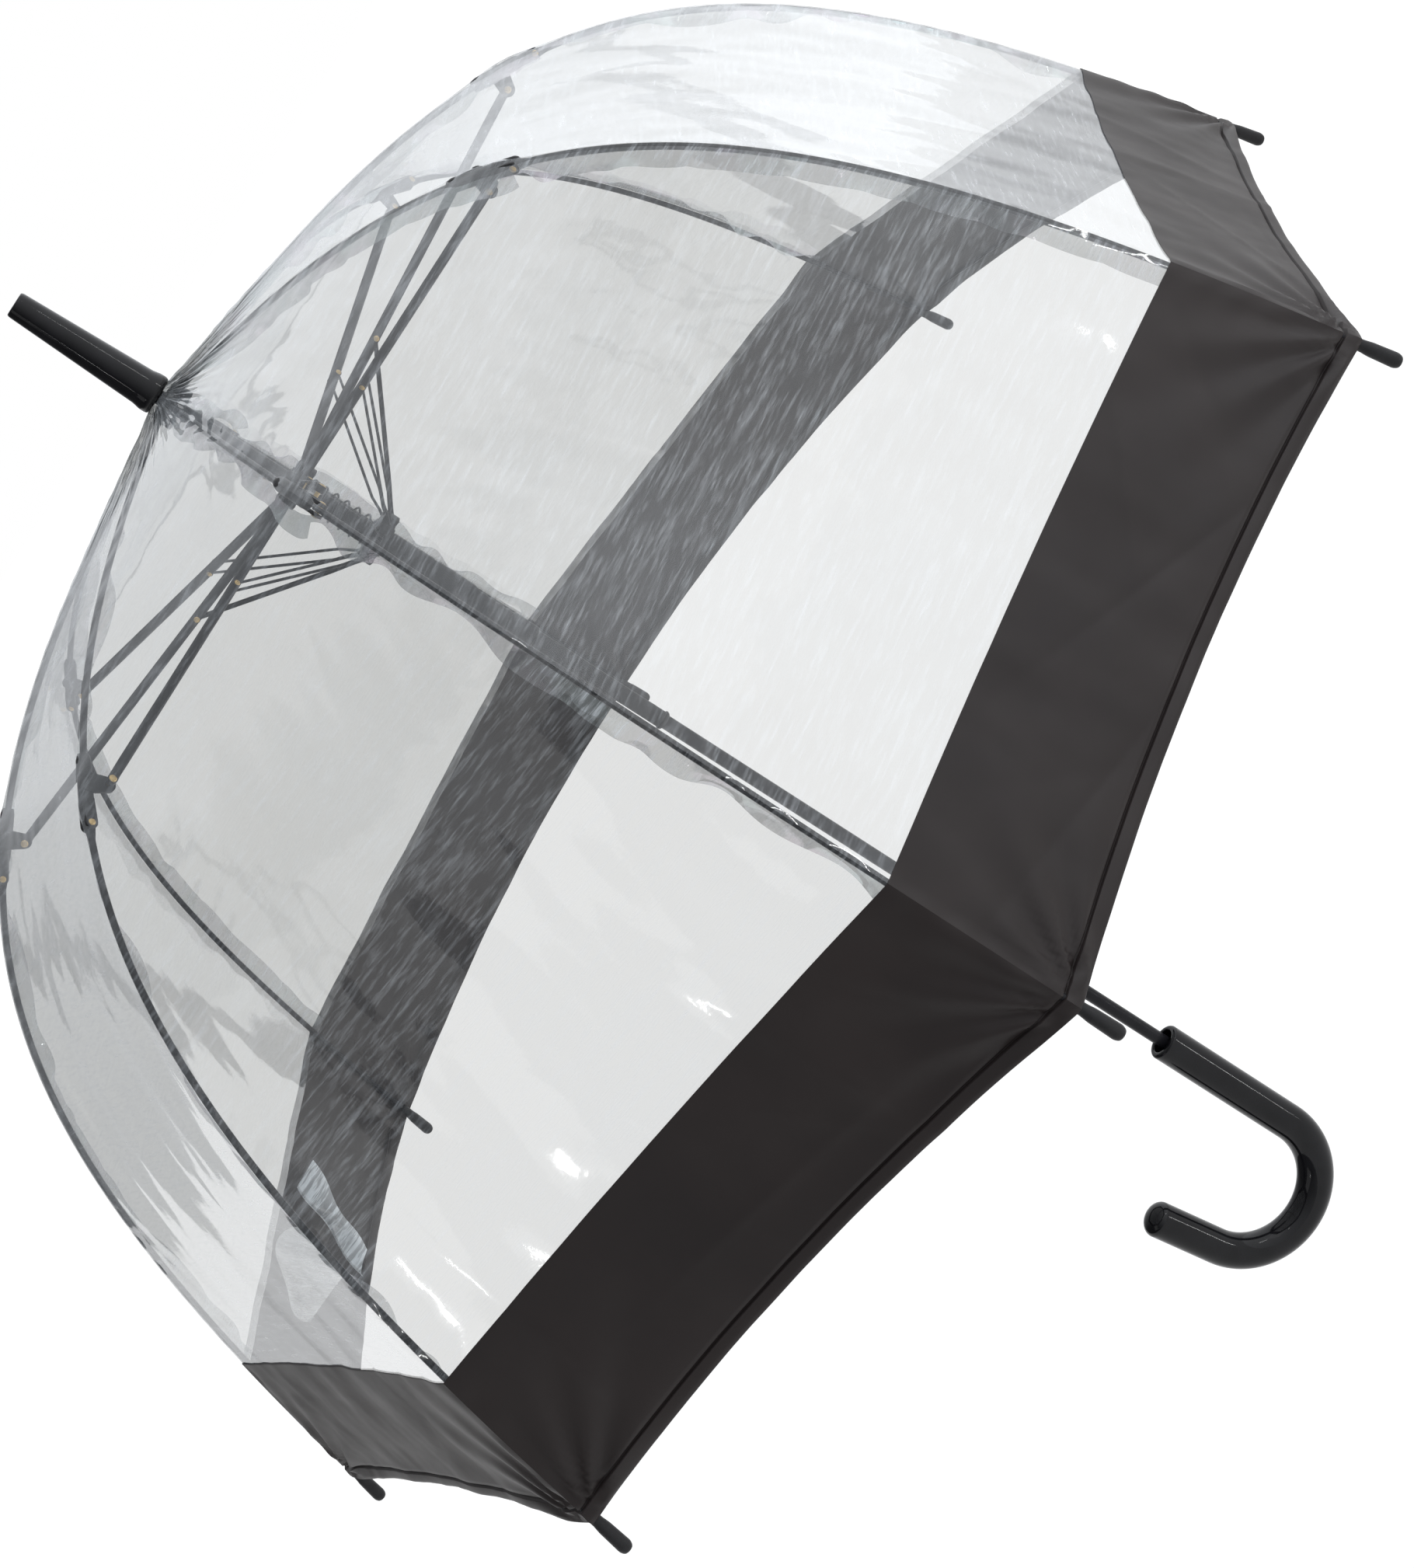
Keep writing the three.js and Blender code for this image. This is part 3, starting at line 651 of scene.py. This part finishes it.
def add_rib(index):
    number = index + 1
    place = rib_matrix(index)
    upper, lower = f"upper_rib_body_{number}", f"lower_rib_body_{number}"
    swing, prop = f"stretcher_body_{number}", f"strut_body_{number}"
    rows = [
        ("rib_upper", upper_rib(), "steel", upper, "black_steel", "upper_rib"),
        ("connector", rib_connector(), "nylon", upper, "black_plastic", "rib_connector"),
        ("rib_lower", lower_rib(), "steel", lower, "black_steel", "lower_rib"),
        ("cap", tip_cap(), "nylon", lower, "black_plastic", "tip_cap"),
        ("channel", stretcher(), "steel", swing, "black_steel", "stretcher"),
        ("hairpin", strut(), "steel", prop, "black_steel", "strut"),
    ]
    for name, shape, look, body, slot, node in rows:
        piece(f"{name}_{number}", shape, look, body, [f"{node}_{number}"], place)
    middle = STRETCHER_SIDE * RIVET_SHARE
    rivets = [
        ("lug", rivet(*LUG_PIVOT, 1.5 * MM, 9.6 * MM, 1.1 * MM, 2.1 * MM), upper),
        ("elbow", rivet(*ELBOW, -3.4 * MM, 3.4 * MM, 1 * MM, 1.9 * MM), upper),
        ("strut", rivet(*RIVET_POINT, middle - 5.1 * MM, middle + 5.1 * MM, 0.9 * MM, 1.7 * MM), swing),
    ]
    for name, shape, body in rivets:
        piece(f"rivet_{name}_{number}", shape, "brass", body, matrix=place)


# Pieces about the shaft.

def slotted(radius, bore, low, high, slot, slot_from):
    """A disc with eight slots: arcs between them, and a round hole."""
    edge = math.asin(slot / 2 / radius)
    outline = []
    for index in range(RIB_COUNT):
        azimuth = index * STEP
        along = np.array([math.cos(azimuth), math.sin(azimuth)])
        across = np.array([-along[1], along[0]])
        outline += [tuple(slot_from * along + side * slot / 2 * across) for side in (-1, 1)]
        outline += arc((0, 0), radius, azimuth + edge, azimuth + STEP - edge, 9)
    hole = arc((0, 0), bore, 2 * math.pi, 2 * math.pi / 40, 40)
    disc = plate([outline, hole], low, high, 0.35 * MM)
    return Shape(disc.points[:, [0, 2, 1]], disc.faces)


def helix(radius, low, high, turns, per_turn=40):
    """A compression spring's line, its end turns closed up."""
    share = np.linspace(0, 1, int(turns * per_turn) + 1)
    climb = np.clip((share * turns - 0.5) / (turns - 1), 0, 1)
    angle = 2 * math.pi * turns * share
    return np.stack([radius * np.cos(angle), radius * np.sin(angle), low + (high - low) * climb], -1)


def ferrule():
    bottom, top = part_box("ferrule")[0].z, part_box("ferrule")[1].z
    outline = [
        (4.35 * MM, bottom + 20 * MM),
        (4.35 * MM, bottom),
        (10.2 * MM, bottom),
        (10.8 * MM, bottom + 1.6 * MM),
        (10.7 * MM, bottom + 5 * MM),
        (9.9 * MM, bottom + 9 * MM),
        (7.1 * MM, top - 1.4 * MM),
        (6.6 * MM, top),
        (0.1 * MM, top),
    ]
    return lathe(outline, 64, 0.7 * MM)


def runner_sleeve():
    low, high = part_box("runner_sleeve")[0].z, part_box("runner_sleeve")[1].z
    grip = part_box("strut_collar")[0].z - MM
    outline = [(4.25 * MM, low), (4.9 * MM, low), (5.5 * MM, low + 1.2 * MM), (5.5 * MM, low + 2 * MM)]
    outline += [(4.8 * MM, low + 2.1 * MM), (4.8 * MM, grip - 96 * MM), (6.2 * MM, grip - 95 * MM)]
    outline += [(6.2 * MM, grip - 80 * MM)]
    for index in range(4):
        base = grip - (78 - 5.2 * index) * MM
        outline += [(5.3 * MM, base), (5.9 * MM, base + MM)]
        outline += [(5.9 * MM, base + 3.4 * MM), (5.3 * MM, base + 4.4 * MM)]
    outline += [(6.8 * MM, grip - 52 * MM), (6.8 * MM, grip - 30 * MM), (6.5 * MM, grip - 29 * MM)]
    outline += [(6.5 * MM, grip - 27 * MM), (6.8 * MM, grip - 26 * MM), (6.8 * MM, grip - 2 * MM)]
    outline += [(6.2 * MM, grip), (4.8 * MM, grip), (4.8 * MM, high), (4.25 * MM, high)]
    return lathe(outline, 48, 0.5 * MM, loop=True)


def crook_path(length):
    """The handle's centre line, by the distance down from its mouth."""
    grip, turn_by = MOUTH_Z - CROOK_Z, math.pi - CROOK_LEAN
    turn = min(max((length - grip) / CROOK_RADIUS, 0), turn_by)
    past = max(length - grip - turn_by * CROOK_RADIUS, 0)
    along = np.array([0, -math.sin(turn), -math.cos(turn)])
    centre = np.array([0, CROOK_RADIUS * (math.cos(turn) - 1), MOUTH_Z - min(length, grip)])
    centre[2] -= CROOK_RADIUS * math.sin(turn)
    return centre + past * along, np.array([1.0, 0, 0]), np.cross([1.0, 0, 0], along)


def handle():
    """A bent tube, its mouth recessed round the shaft and its end domed, with a window for the button."""
    end = MOUTH_Z - CROOK_Z + (math.pi - CROOK_LEAN) * CROOK_RADIUS + CROOK_TAIL
    floor = MOUTH_Z - CAVITY_FLOOR
    mouth = [(floor, 4.4 * MM), (floor, CAVITY_RADIUS), (0.3 * MM, CAVITY_RADIUS)]
    mouth += [(0, CAVITY_RADIUS + 0.5 * MM), (0, GRIP_RADIUS - MM)]
    mouth += [(1.2 * MM, GRIP_RADIUS), (6 * MM, GRIP_RADIUS)]
    body = [(station, GRIP_RADIUS) for station in np.linspace(8 * MM, end - 0.5 * MM, 110)]
    dome = [
        (end + 7.7 * MM * math.sin(angle), GRIP_RADIUS * math.cos(angle))
        for angle in np.linspace(0, math.radians(89), 12)
    ]
    return turned_along(crook_path, rounded(mouth, 0.9 * MM) + body + dome, 56)


def add_handle():
    made = piece("crook_handle", handle(), "gloss", "root", ["handle"])
    low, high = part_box("release_button")
    bottom, top = low.z - BUTTON_GAP, high.z + BUTTON_GAP
    back, front, side_gap = -6.2 * MM, -20 * MM, 0.35 * MM
    window = [(front, bottom), (front, top), (back, top), (back, bottom)]
    block = plate([window], low.y - side_gap, high.y + side_gap)
    cutter = piece("cutter", block, "gloss", "root")
    boolean = made.modifiers.new("window", "BOOLEAN")
    boolean.object = cutter
    boolean.solver = "EXACT"
    depsgraph = bpy.context.evaluated_depsgraph_get()
    mesh = bpy.data.meshes.new_from_object(made.evaluated_get(depsgraph), depsgraph=depsgraph)
    made.modifiers.clear()
    made.data = mesh
    bpy.data.objects.remove(cutter)


def release_button():
    """The push pad, crowned towards the thumb, with the hook that holds the runner's catch ring."""
    low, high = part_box("release_button")
    middle, half = (low.z + high.z) / 2, (high.z - low.z) / 2
    back, rim, bulge = -9.4 * MM, -10.8 * MM, 2.2 * MM
    pad = [(back, middle + half), (rim, middle + half)]
    for angle in np.linspace(1.45, -1.45, 18):
        pad.append((rim - bulge * math.cos(angle) ** 0.7, middle + half * math.sin(angle)))
    pad += [(rim, middle - half), (back, middle - half)]
    foot, nose, root = 33 * MM, -5.15 * MM, -10.4 * MM
    hook = [(root, foot), (nose, foot), (nose, foot + 1.4 * MM)]
    hook += [(nose - MM, foot + 2.4 * MM), (root, foot + 2.4 * MM)]
    return joined(plate([pad], low.y, high.y, 0.5 * MM), plate([hook], -3 * MM, 3 * MM))


def add_springs():
    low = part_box("strut_collar")[1].z + MM
    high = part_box("runner_crown")[0].z - MM
    coil = wire(helix(7.7 * MM, low, high, 7), 0.65 * MM, 10)
    made = piece("main_spring", coil, "spring", "runner_body", ["opening_spring"])
    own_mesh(made)
    near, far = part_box("button_spring")[0].x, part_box("button_spring")[1].x
    level, gauge = 20.5 * MM, 0.25 * MM
    turn = Matrix.Translation((0, 0, level)) @ Matrix.Rotation(math.pi / 2, 4, "Y")
    coil = wire(helix(1.7 * MM, near + gauge, far - gauge, 4, 20), gauge, 8)
    made = piece("return_spring", coil, "spring", "root", ["button_spring"], turn)
    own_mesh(made)


def add_column():
    bottom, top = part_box("shaft")[0].z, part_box("shaft")[1].z
    rod = [(3.4 * MM, bottom), (4 * MM, bottom), (4 * MM, top), (3.4 * MM, top), (3.4 * MM, bottom + MM)]
    piece("shaft_tube", lathe(rod, 40, 0.3 * MM, loop=True), "steel", "root", ["shaft"])
    piece("ferrule_spike", ferrule(), "gloss", "root", ["ferrule"])
    notch_low, notch_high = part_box("top_notch")[0].z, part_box("top_notch")[1].z
    notch = slotted(11.5 * MM, 4.35 * MM, notch_low, notch_high, 4.2 * MM, 6 * MM)
    piece("notch_disc", notch, "nylon", "root", ["top_notch"])
    low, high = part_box("runner_crown")[0].z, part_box("runner_crown")[1].z
    crown = slotted(12.5 * MM, 5.15 * MM, low, high, 4.2 * MM, 6.6 * MM)
    piece("crown_disc", crown, "nylon", "runner_body", ["runner_crown"])
    piece("sleeve_tube", runner_sleeve(), "nylon", "runner_body", ["runner_sleeve"])
    collar_low, collar_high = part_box("strut_collar")[0].z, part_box("strut_collar")[1].z
    collar = slotted(15.2 * MM, 5.15 * MM, collar_low, collar_high, 6.4 * MM, 11.6 * MM)
    piece("collar_disc", collar, "nylon", "collar_body", ["strut_collar"])
    add_handle()
    piece("button", release_button(), "nylon", "button_body", ["release_button"])
    add_springs()


# The canopy: eight gores, each one continuous surface, cut at its middle, at the elbow and at the weld.

COLUMNS = 96


def film_gap(station):
    """How far outside the rib's line the sheet's lies: more over the connector and near the ferrule."""
    near_connector = np.exp(-(((station - 240 * MM) / (20 * MM)) ** 2))
    return 2.2 * MM + 2.3 * MM * near_connector + 3.6 * MM * np.exp(-np.maximum(station, 0) / (14 * MM))


def half_width(station):
    return rib_point(station, film_gap(station))[..., 0] * math.sin(STEP / 2)


class Wrinkles:
    """The relief of one gore, in metres, from its own seeded draws."""

    def __init__(self, number):
        draw = np.random.default_rng(40 + number)
        self.waves = [
            (length, draw.normal(0, 0.3), draw.uniform(0, 2 * math.pi))
            for length in draw.uniform(12 * MM, 60 * MM, 30)
        ]
        self.creases = [
            (draw.uniform(0.1, 0.54), draw.uniform(-0.6, 0.6), draw.normal(0, 0.35), draw.uniform(-1, 1))
            for _ in range(6)
        ]
        self.creases += [
            (draw.uniform(0.58, 0.65), draw.uniform(-0.9, 0.9), draw.normal(0, 0.9), draw.uniform(-3, 3))
            for _ in range(7)
        ]
        self.phases = draw.uniform(0, 2 * math.pi, 12)

    def relief(self, station, across):
        half = np.maximum(half_width(station), 1e-4)
        x = across * half
        edge = half - np.abs(x)
        side = np.where(across > 0, 1, 0)
        phase = self.phases
        total = 0
        for length, angle, shift in self.waves:
            turn = 2 * math.pi / length
            wave = np.sin(turn * (x * math.cos(angle) + station * math.sin(angle)) + shift)
            total = total + 0.04 * MM * (length / (40 * MM)) * wave
        for place, share, lean, size in self.creases:
            dx, ds = x - share * half_width(np.array(place)), station - place
            off = dx * math.cos(lean) - ds * math.sin(lean)
            along = dx * math.sin(lean) + ds * math.cos(lean)
            ridge = np.exp(-np.abs(off) / (5 * MM)) * np.exp(-((along / 0.08) ** 2))
            total = total + size * 0.35 * MM * ridge
        drift = 2.2 * np.sin(station * 41 + phase[side])
        pucker = np.sin(2 * math.pi * station / (23 * MM) + drift + 60 * edge)
        total = total + 0.4 * MM * np.exp(-edge / (10 * MM)) * pucker
        slack = np.sin(2 * math.pi * x / (88 * MM) + phase[2] + 5 * station)
        total = total + 0.35 * MM * np.clip((station - 0.06) / 0.3, 0, 1) * slack
        gather = np.sin(7 * math.pi * across + phase[3]) + 0.6 * np.sin(12 * math.pi * across + phase[4])
        total = total + 0.75 * MM * np.exp(-((station - 0.02) / 0.045) ** 2) * gather
        total = total + tip_folds(station, across, half, phase)
        return total * np.clip(edge / (3.5 * MM), 0, 1) * np.clip((station + 3 * MM) / (12 * MM), 0.1, 1)


def tip_folds(station, across, half, phase):
    """Tension folds that fan out from each rib's tip over the border."""
    away = (1 - np.abs(across)) * half
    down = RIM_AT - station
    reach = np.hypot(away, down)
    angle = np.arctan2(away, np.maximum(down, -5 * MM))
    fan = np.sin(13 * angle + phase[np.where(across > 0, 5, 6)])
    return 2.2 * MM * fan * np.exp(-reach / 0.06) * np.clip(reach / 0.02, 0, 1)


def scalloped(station, across):
    """The station on the rib's line of a point of the sheet: the rim curves in between its tips."""
    share = np.clip((station - WELD_AT) / (RIM_AT - WELD_AT), 0, None)
    return station - (1 - across**2) * (9 * MM * share**2 + 1.5 * MM * np.clip(station / WELD_AT, 0, 1))


def gore_surface(index, station, across):
    at = scalloped(station, across)
    line = rib_point(at, film_gap(at))
    share = (across + 1) / 2
    first, last = index * STEP, (index + 1) * STEP
    x = line[..., 0] * (math.cos(first) * (1 - share) + math.cos(last) * share)
    y = line[..., 0] * (math.sin(first) * (1 - share) + math.sin(last) * share)
    points = np.stack([x, y, NOTCH_Z + line[..., 1]], -1)
    inward = 5 * MM * (1 - across**2) * np.sin(math.pi * np.clip(station / RIM_AT, 0, 1))
    middle = (index + 0.5) * STEP
    points[..., 0] -= inward * math.cos(middle)
    points[..., 1] -= inward * math.sin(middle)
    return points


def unit(vectors):
    return vectors / np.maximum(np.linalg.norm(vectors, axis=-1, keepdims=True), 1e-12)


def gore_grid(index, wrinkles, rows):
    """Points and shading normals of a gore for rows of (station, lift off the sheet). At a rib the lift
    stays in the rib's plane, so that neighbouring gores meet."""
    station = np.array([row[0] for row in rows])[:, None] + np.zeros(COLUMNS + 1)
    lift = np.array([row[1] for row in rows])[:, None]
    across = np.linspace(-1, 1, COLUMNS + 1)[None, :] + np.zeros((len(rows), 1))
    step, nudge, margin = 0.5 * MM, 0.01, 0.03
    down = gore_surface(index, station + step, across) - gore_surface(index, station - step, across)
    over = gore_surface(index, station, np.minimum(across + nudge, 1))
    over = over - gore_surface(index, station, np.maximum(across - nudge, -1))
    out = unit(np.cross(down, over))
    for end, azimuth in ((-1, index * STEP), (1, (index + 1) * STEP)):
        level = np.array([-math.sin(azimuth), math.cos(azimuth), 0])
        near = np.clip(1 - (1 - end * across) / margin, 0, 1)
        out = unit(out - (near * (out @ level))[..., None] * level)
    relief = wrinkles.relief(station, across)
    points = gore_surface(index, station, across) + out * (relief + lift)[..., None]
    shading = unit(np.cross(np.gradient(points, axis=0), np.gradient(points, axis=1)))
    return points, shading


def sheet_mesh(name, points, normals, look):
    rows, columns = points.shape[:2]
    index = np.arange(rows * columns).reshape(rows, columns)
    corners = [index[:-1, :-1], index[1:, :-1], index[1:, 1:], index[:-1, 1:]]
    mesh = bpy.data.meshes.new(name)
    mesh.from_pydata(points.reshape(-1, 3).tolist(), [], np.stack(corners, -1).reshape(-1, 4).tolist())
    mesh.shade_smooth()
    mesh.normals_split_custom_set_from_vertices(normals.reshape(-1, 3).tolist())
    mesh.materials.append(LOOKS[look])
    made = bpy.data.objects.new(name, mesh)
    bpy.context.scene.collection.objects.link(made)
    return made


# The canopy's bands: what each is, the stations it is cut between and the stretch of rib that
# fold_with_frame reads.
FILM = {"look": "film", "slot": "clear_film", "stands_for": "canopy_film"}
VINYL = {"look": "vinyl", "slot": "black_vinyl", "stands_for": "canopy_border"}
ABOVE_ELBOW = {"rod": "upper_rib", "holder": "rib_upper", "fold": (0, ELBOW_AT)}
BELOW_ELBOW = {"rod": "lower_rib", "holder": "rib_lower", "fold": (ELBOW_AT, RIM_AT)}
UPPER_FILM = {"name": "film_upper", "span": (0, ELBOW_AT), **FILM, **ABOVE_ELBOW}
LOWER_FILM = {"name": "film_lower", "span": (ELBOW_AT, WELD_AT), **FILM, **BELOW_ELBOW}
BORDER = {"name": "border", "span": (WELD_AT, RIM_AT), **VINYL, **BELOW_ELBOW}
FOLD_KEEP, BOW_SHARE = 0.12, 0.4


def fold_with_frame(made, index, side, start, end):
    """Works out where half a gore would gather against its rib as the runner comes down: an anchor, moved
    off the rib's chord by a share of the rib's bow, and a direction. Neither is used; the piece only gets
    its own copy of its mesh."""
    first, last = rib_point(start), rib_point(end)
    chord = unit(last - first)
    normal = np.array([-chord[1], chord[0]])
    bow = float(np.max((rib_point(np.linspace(start, end, 60)) - first) @ normal))
    anchor = first if start > 0 else last
    anchor = anchor + normal * BOW_SHARE * bow
    half = STEP / 2
    inward = math.cos(half) ** 2 - 1
    direction = side * math.sin(half) * math.cos(half) * np.array([0, 1.0, 0])
    direction = direction + inward * normal[0] * np.array([normal[0], 0, normal[1]])
    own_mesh(made)


def flat_cut(start, end):
    """The flat size and area of half a gore between two stations."""
    widths = half_width(np.linspace(start, end, 200))
    return (float(widths.max()), end - start), float(widths.mean()) * (end - start)


def band_rows():
    """Rows of (station, lift) for the two bands of film, and for the border with its turned hem."""
    overlap, thick = 2.5 * MM, 0.6 * MM
    upper = [(s, 0) for s in np.linspace(-3 * MM, 40 * MM, 26)]
    upper += [(s, 0) for s in np.linspace(40 * MM, ELBOW_AT, 84)[1:]]
    lower = [(s, 0) for s in np.linspace(ELBOW_AT, WELD_AT + overlap, 122)[1:]]
    border = [(WELD_AT - overlap, 0.35 * MM), (WELD_AT - overlap, thick)]
    border += [(WELD_AT - overlap + MM, thick)]
    border += [(s, thick) for s in np.linspace(WELD_AT + 0.5 * MM, RIM_AT - 9.8 * MM, 34)]
    hem = [(9.1, -0.8), (8.3, -0.8), (7.9, 0.8), (7.4, 1.1), (3, 1.5), (0.6, 1.1), (0, 0.4)]
    hem += [(0.2, -0.4), (2, -0.7), (6, -0.7), (7.6, -0.1)]
    border += [(RIM_AT - above * MM, lift * MM) for above, lift in hem]
    return upper, lower, border


def add_gore(index):
    upper, lower, border = band_rows()
    wrinkles = Wrinkles(index)
    film, film_normals = gore_grid(index, wrinkles, upper + lower)
    edge, edge_normals = gore_grid(index, wrinkles, border)
    split, half = len(upper), COLUMNS // 2
    bands = [
        (UPPER_FILM, film[:split], film_normals[:split]),
        (LOWER_FILM, film[split - 1:], film_normals[split - 1:]),
        (BORDER, edge, edge_normals),
    ]
    for band, points, normals in bands:
        for side, columns in ((1, slice(0, half + 1)), (-1, slice(half, COLUMNS + 1))):
            rib = index if side == 1 else (index + 1) % RIB_COUNT
            add_half_gore(band, rib, side, points[:, columns], normals[:, columns])


def add_half_gore(band, rib, side, points, normals):
    number, label = rib + 1, "left" if side == 1 else "right"
    made = sheet_mesh(f"{band['name']}_{number}_{label}", points, normals, band["look"])
    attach(made, f"{band['rod']}_body_{number}")
    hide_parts(band["stands_for"])
    fold_with_frame(made, rib, side, *band["fold"])
    flat, area = flat_cut(*band["span"])


def seam_flap(index, start, end, width):
    """The welded seam's free edge, ruffled, lying inside the canopy beside its rib."""
    draw = np.random.default_rng(90 + index)
    phase = draw.uniform(0, 2 * math.pi, 4)
    stations = np.linspace(start, end, int((end - start) / (2.2 * MM)))
    share = np.linspace(0, 1, 7)
    station, across = np.meshgrid(stations, share, indexing="ij")
    clear = 4.3 * MM * np.exp(-(((station - 240 * MM) / (18 * MM)) ** 4))
    ruffle = np.sin(station / (7.5 * MM) + 1.4 * np.sin(station * 37 + phase[0]) + phase[1])
    tilt = math.radians(38) + 0.5 * np.sin(station * 33 + phase[2]) + 0.3 * ruffle * across
    taper = np.clip((station - start) / (25 * MM), 0.3, 1)
    reach, fall = width * taper * across, math.tan(STEP / 2) + 0.08
    side = 1.6 * MM + clear + reach * np.cos(tilt)
    hang = np.clip(reach * (np.sin(tilt) - fall * np.cos(tilt)), 0, None)
    line = rib_point(station, film_gap(station) - 0.25 * MM - fall * side - hang)
    return np.stack([line[..., 0], -side, line[..., 1]], -1)


def add_flaps(index):
    number, place = index + 1, np.array(rib_matrix(index))
    width, top, foot = 10 * MM, 18 * MM, WELD_AT - 2 * MM
    for band, start, end in ((UPPER_FILM, top, ELBOW_AT), (LOWER_FILM, ELBOW_AT, foot)):
        points = seam_flap(index, start, end, width) @ place[:3, :3].T + place[:3, 3]
        normals = unit(np.cross(np.gradient(points, axis=0), np.gradient(points, axis=1)))
        name = band["name"].replace("film", "flap")
        made = sheet_mesh(f"{name}_{number}", points, normals, "flap")
        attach(made, f"{band['rod']}_body_{number}")


def patch_on_gore(name, index, side, corners, look, swell=0.0):
    """A strip of film inside a gore. Its four corners are (station, distance from the gore's last rib,
    or from its first where negative), going round from one end to the other."""
    along, over = np.meshgrid(np.linspace(0, 1, 40), np.linspace(0, 1, 14), indexing="ij")
    weights = ((1 - along) * (1 - over), along * (1 - over), along * over, (1 - along) * over)
    place = sum(weight[..., None] * np.array(corner) for weight, corner in zip(weights, corners))
    station = place[..., 0] - swell * np.sin(math.pi * along) * (1 - over)
    away = place[..., 1] / half_width(station)
    across = np.where(away > 0, 1 - away, -1 - away)
    points = gore_surface(index, station, across)
    out = unit(points - np.array([0, 0, NOTCH_Z - 0.35]))
    curl = 1.2 * MM * np.sin(9 * along + 4 * over) + 1.5 * MM * (2 * over - 1) ** 4
    points = points - out * (2.6 * MM + curl)[..., None]
    normals = unit(np.cross(np.gradient(points, axis=0), np.gradient(points, axis=1)))
    made = sheet_mesh(name, points, normals, look)
    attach(made, f"lower_rib_body_{STRAP_RIB + 1}")
    fold_with_frame(made, STRAP_RIB, side, ELBOW_AT, RIM_AT)


def add_tie_strap():
    """The clear strap that ties the closed canopy, and the frosted tab it fastens to."""
    strap = [(475 * MM, 8 * MM), (527 * MM, 152 * MM), (541 * MM, 150 * MM), (503 * MM, 8 * MM)]
    tab = [(457 * MM, -25 * MM), (502 * MM, -15 * MM), (508 * MM, -4 * MM), (459 * MM, -10 * MM)]
    patch_on_gore("tie_strap", STRAP_RIB - 1, -1, strap, "strap", 14 * MM)
    patch_on_gore("tie_tab", STRAP_RIB, 1, tab, "tab")


add_camera()
add_studio()
make_looks()
add_floor()
for rib_index in range(RIB_COUNT):
    add_rib(rib_index)
add_column()
for gore_index in range(RIB_COUNT):
    add_gore(gore_index)
    add_flaps(gore_index)
add_tie_strap()
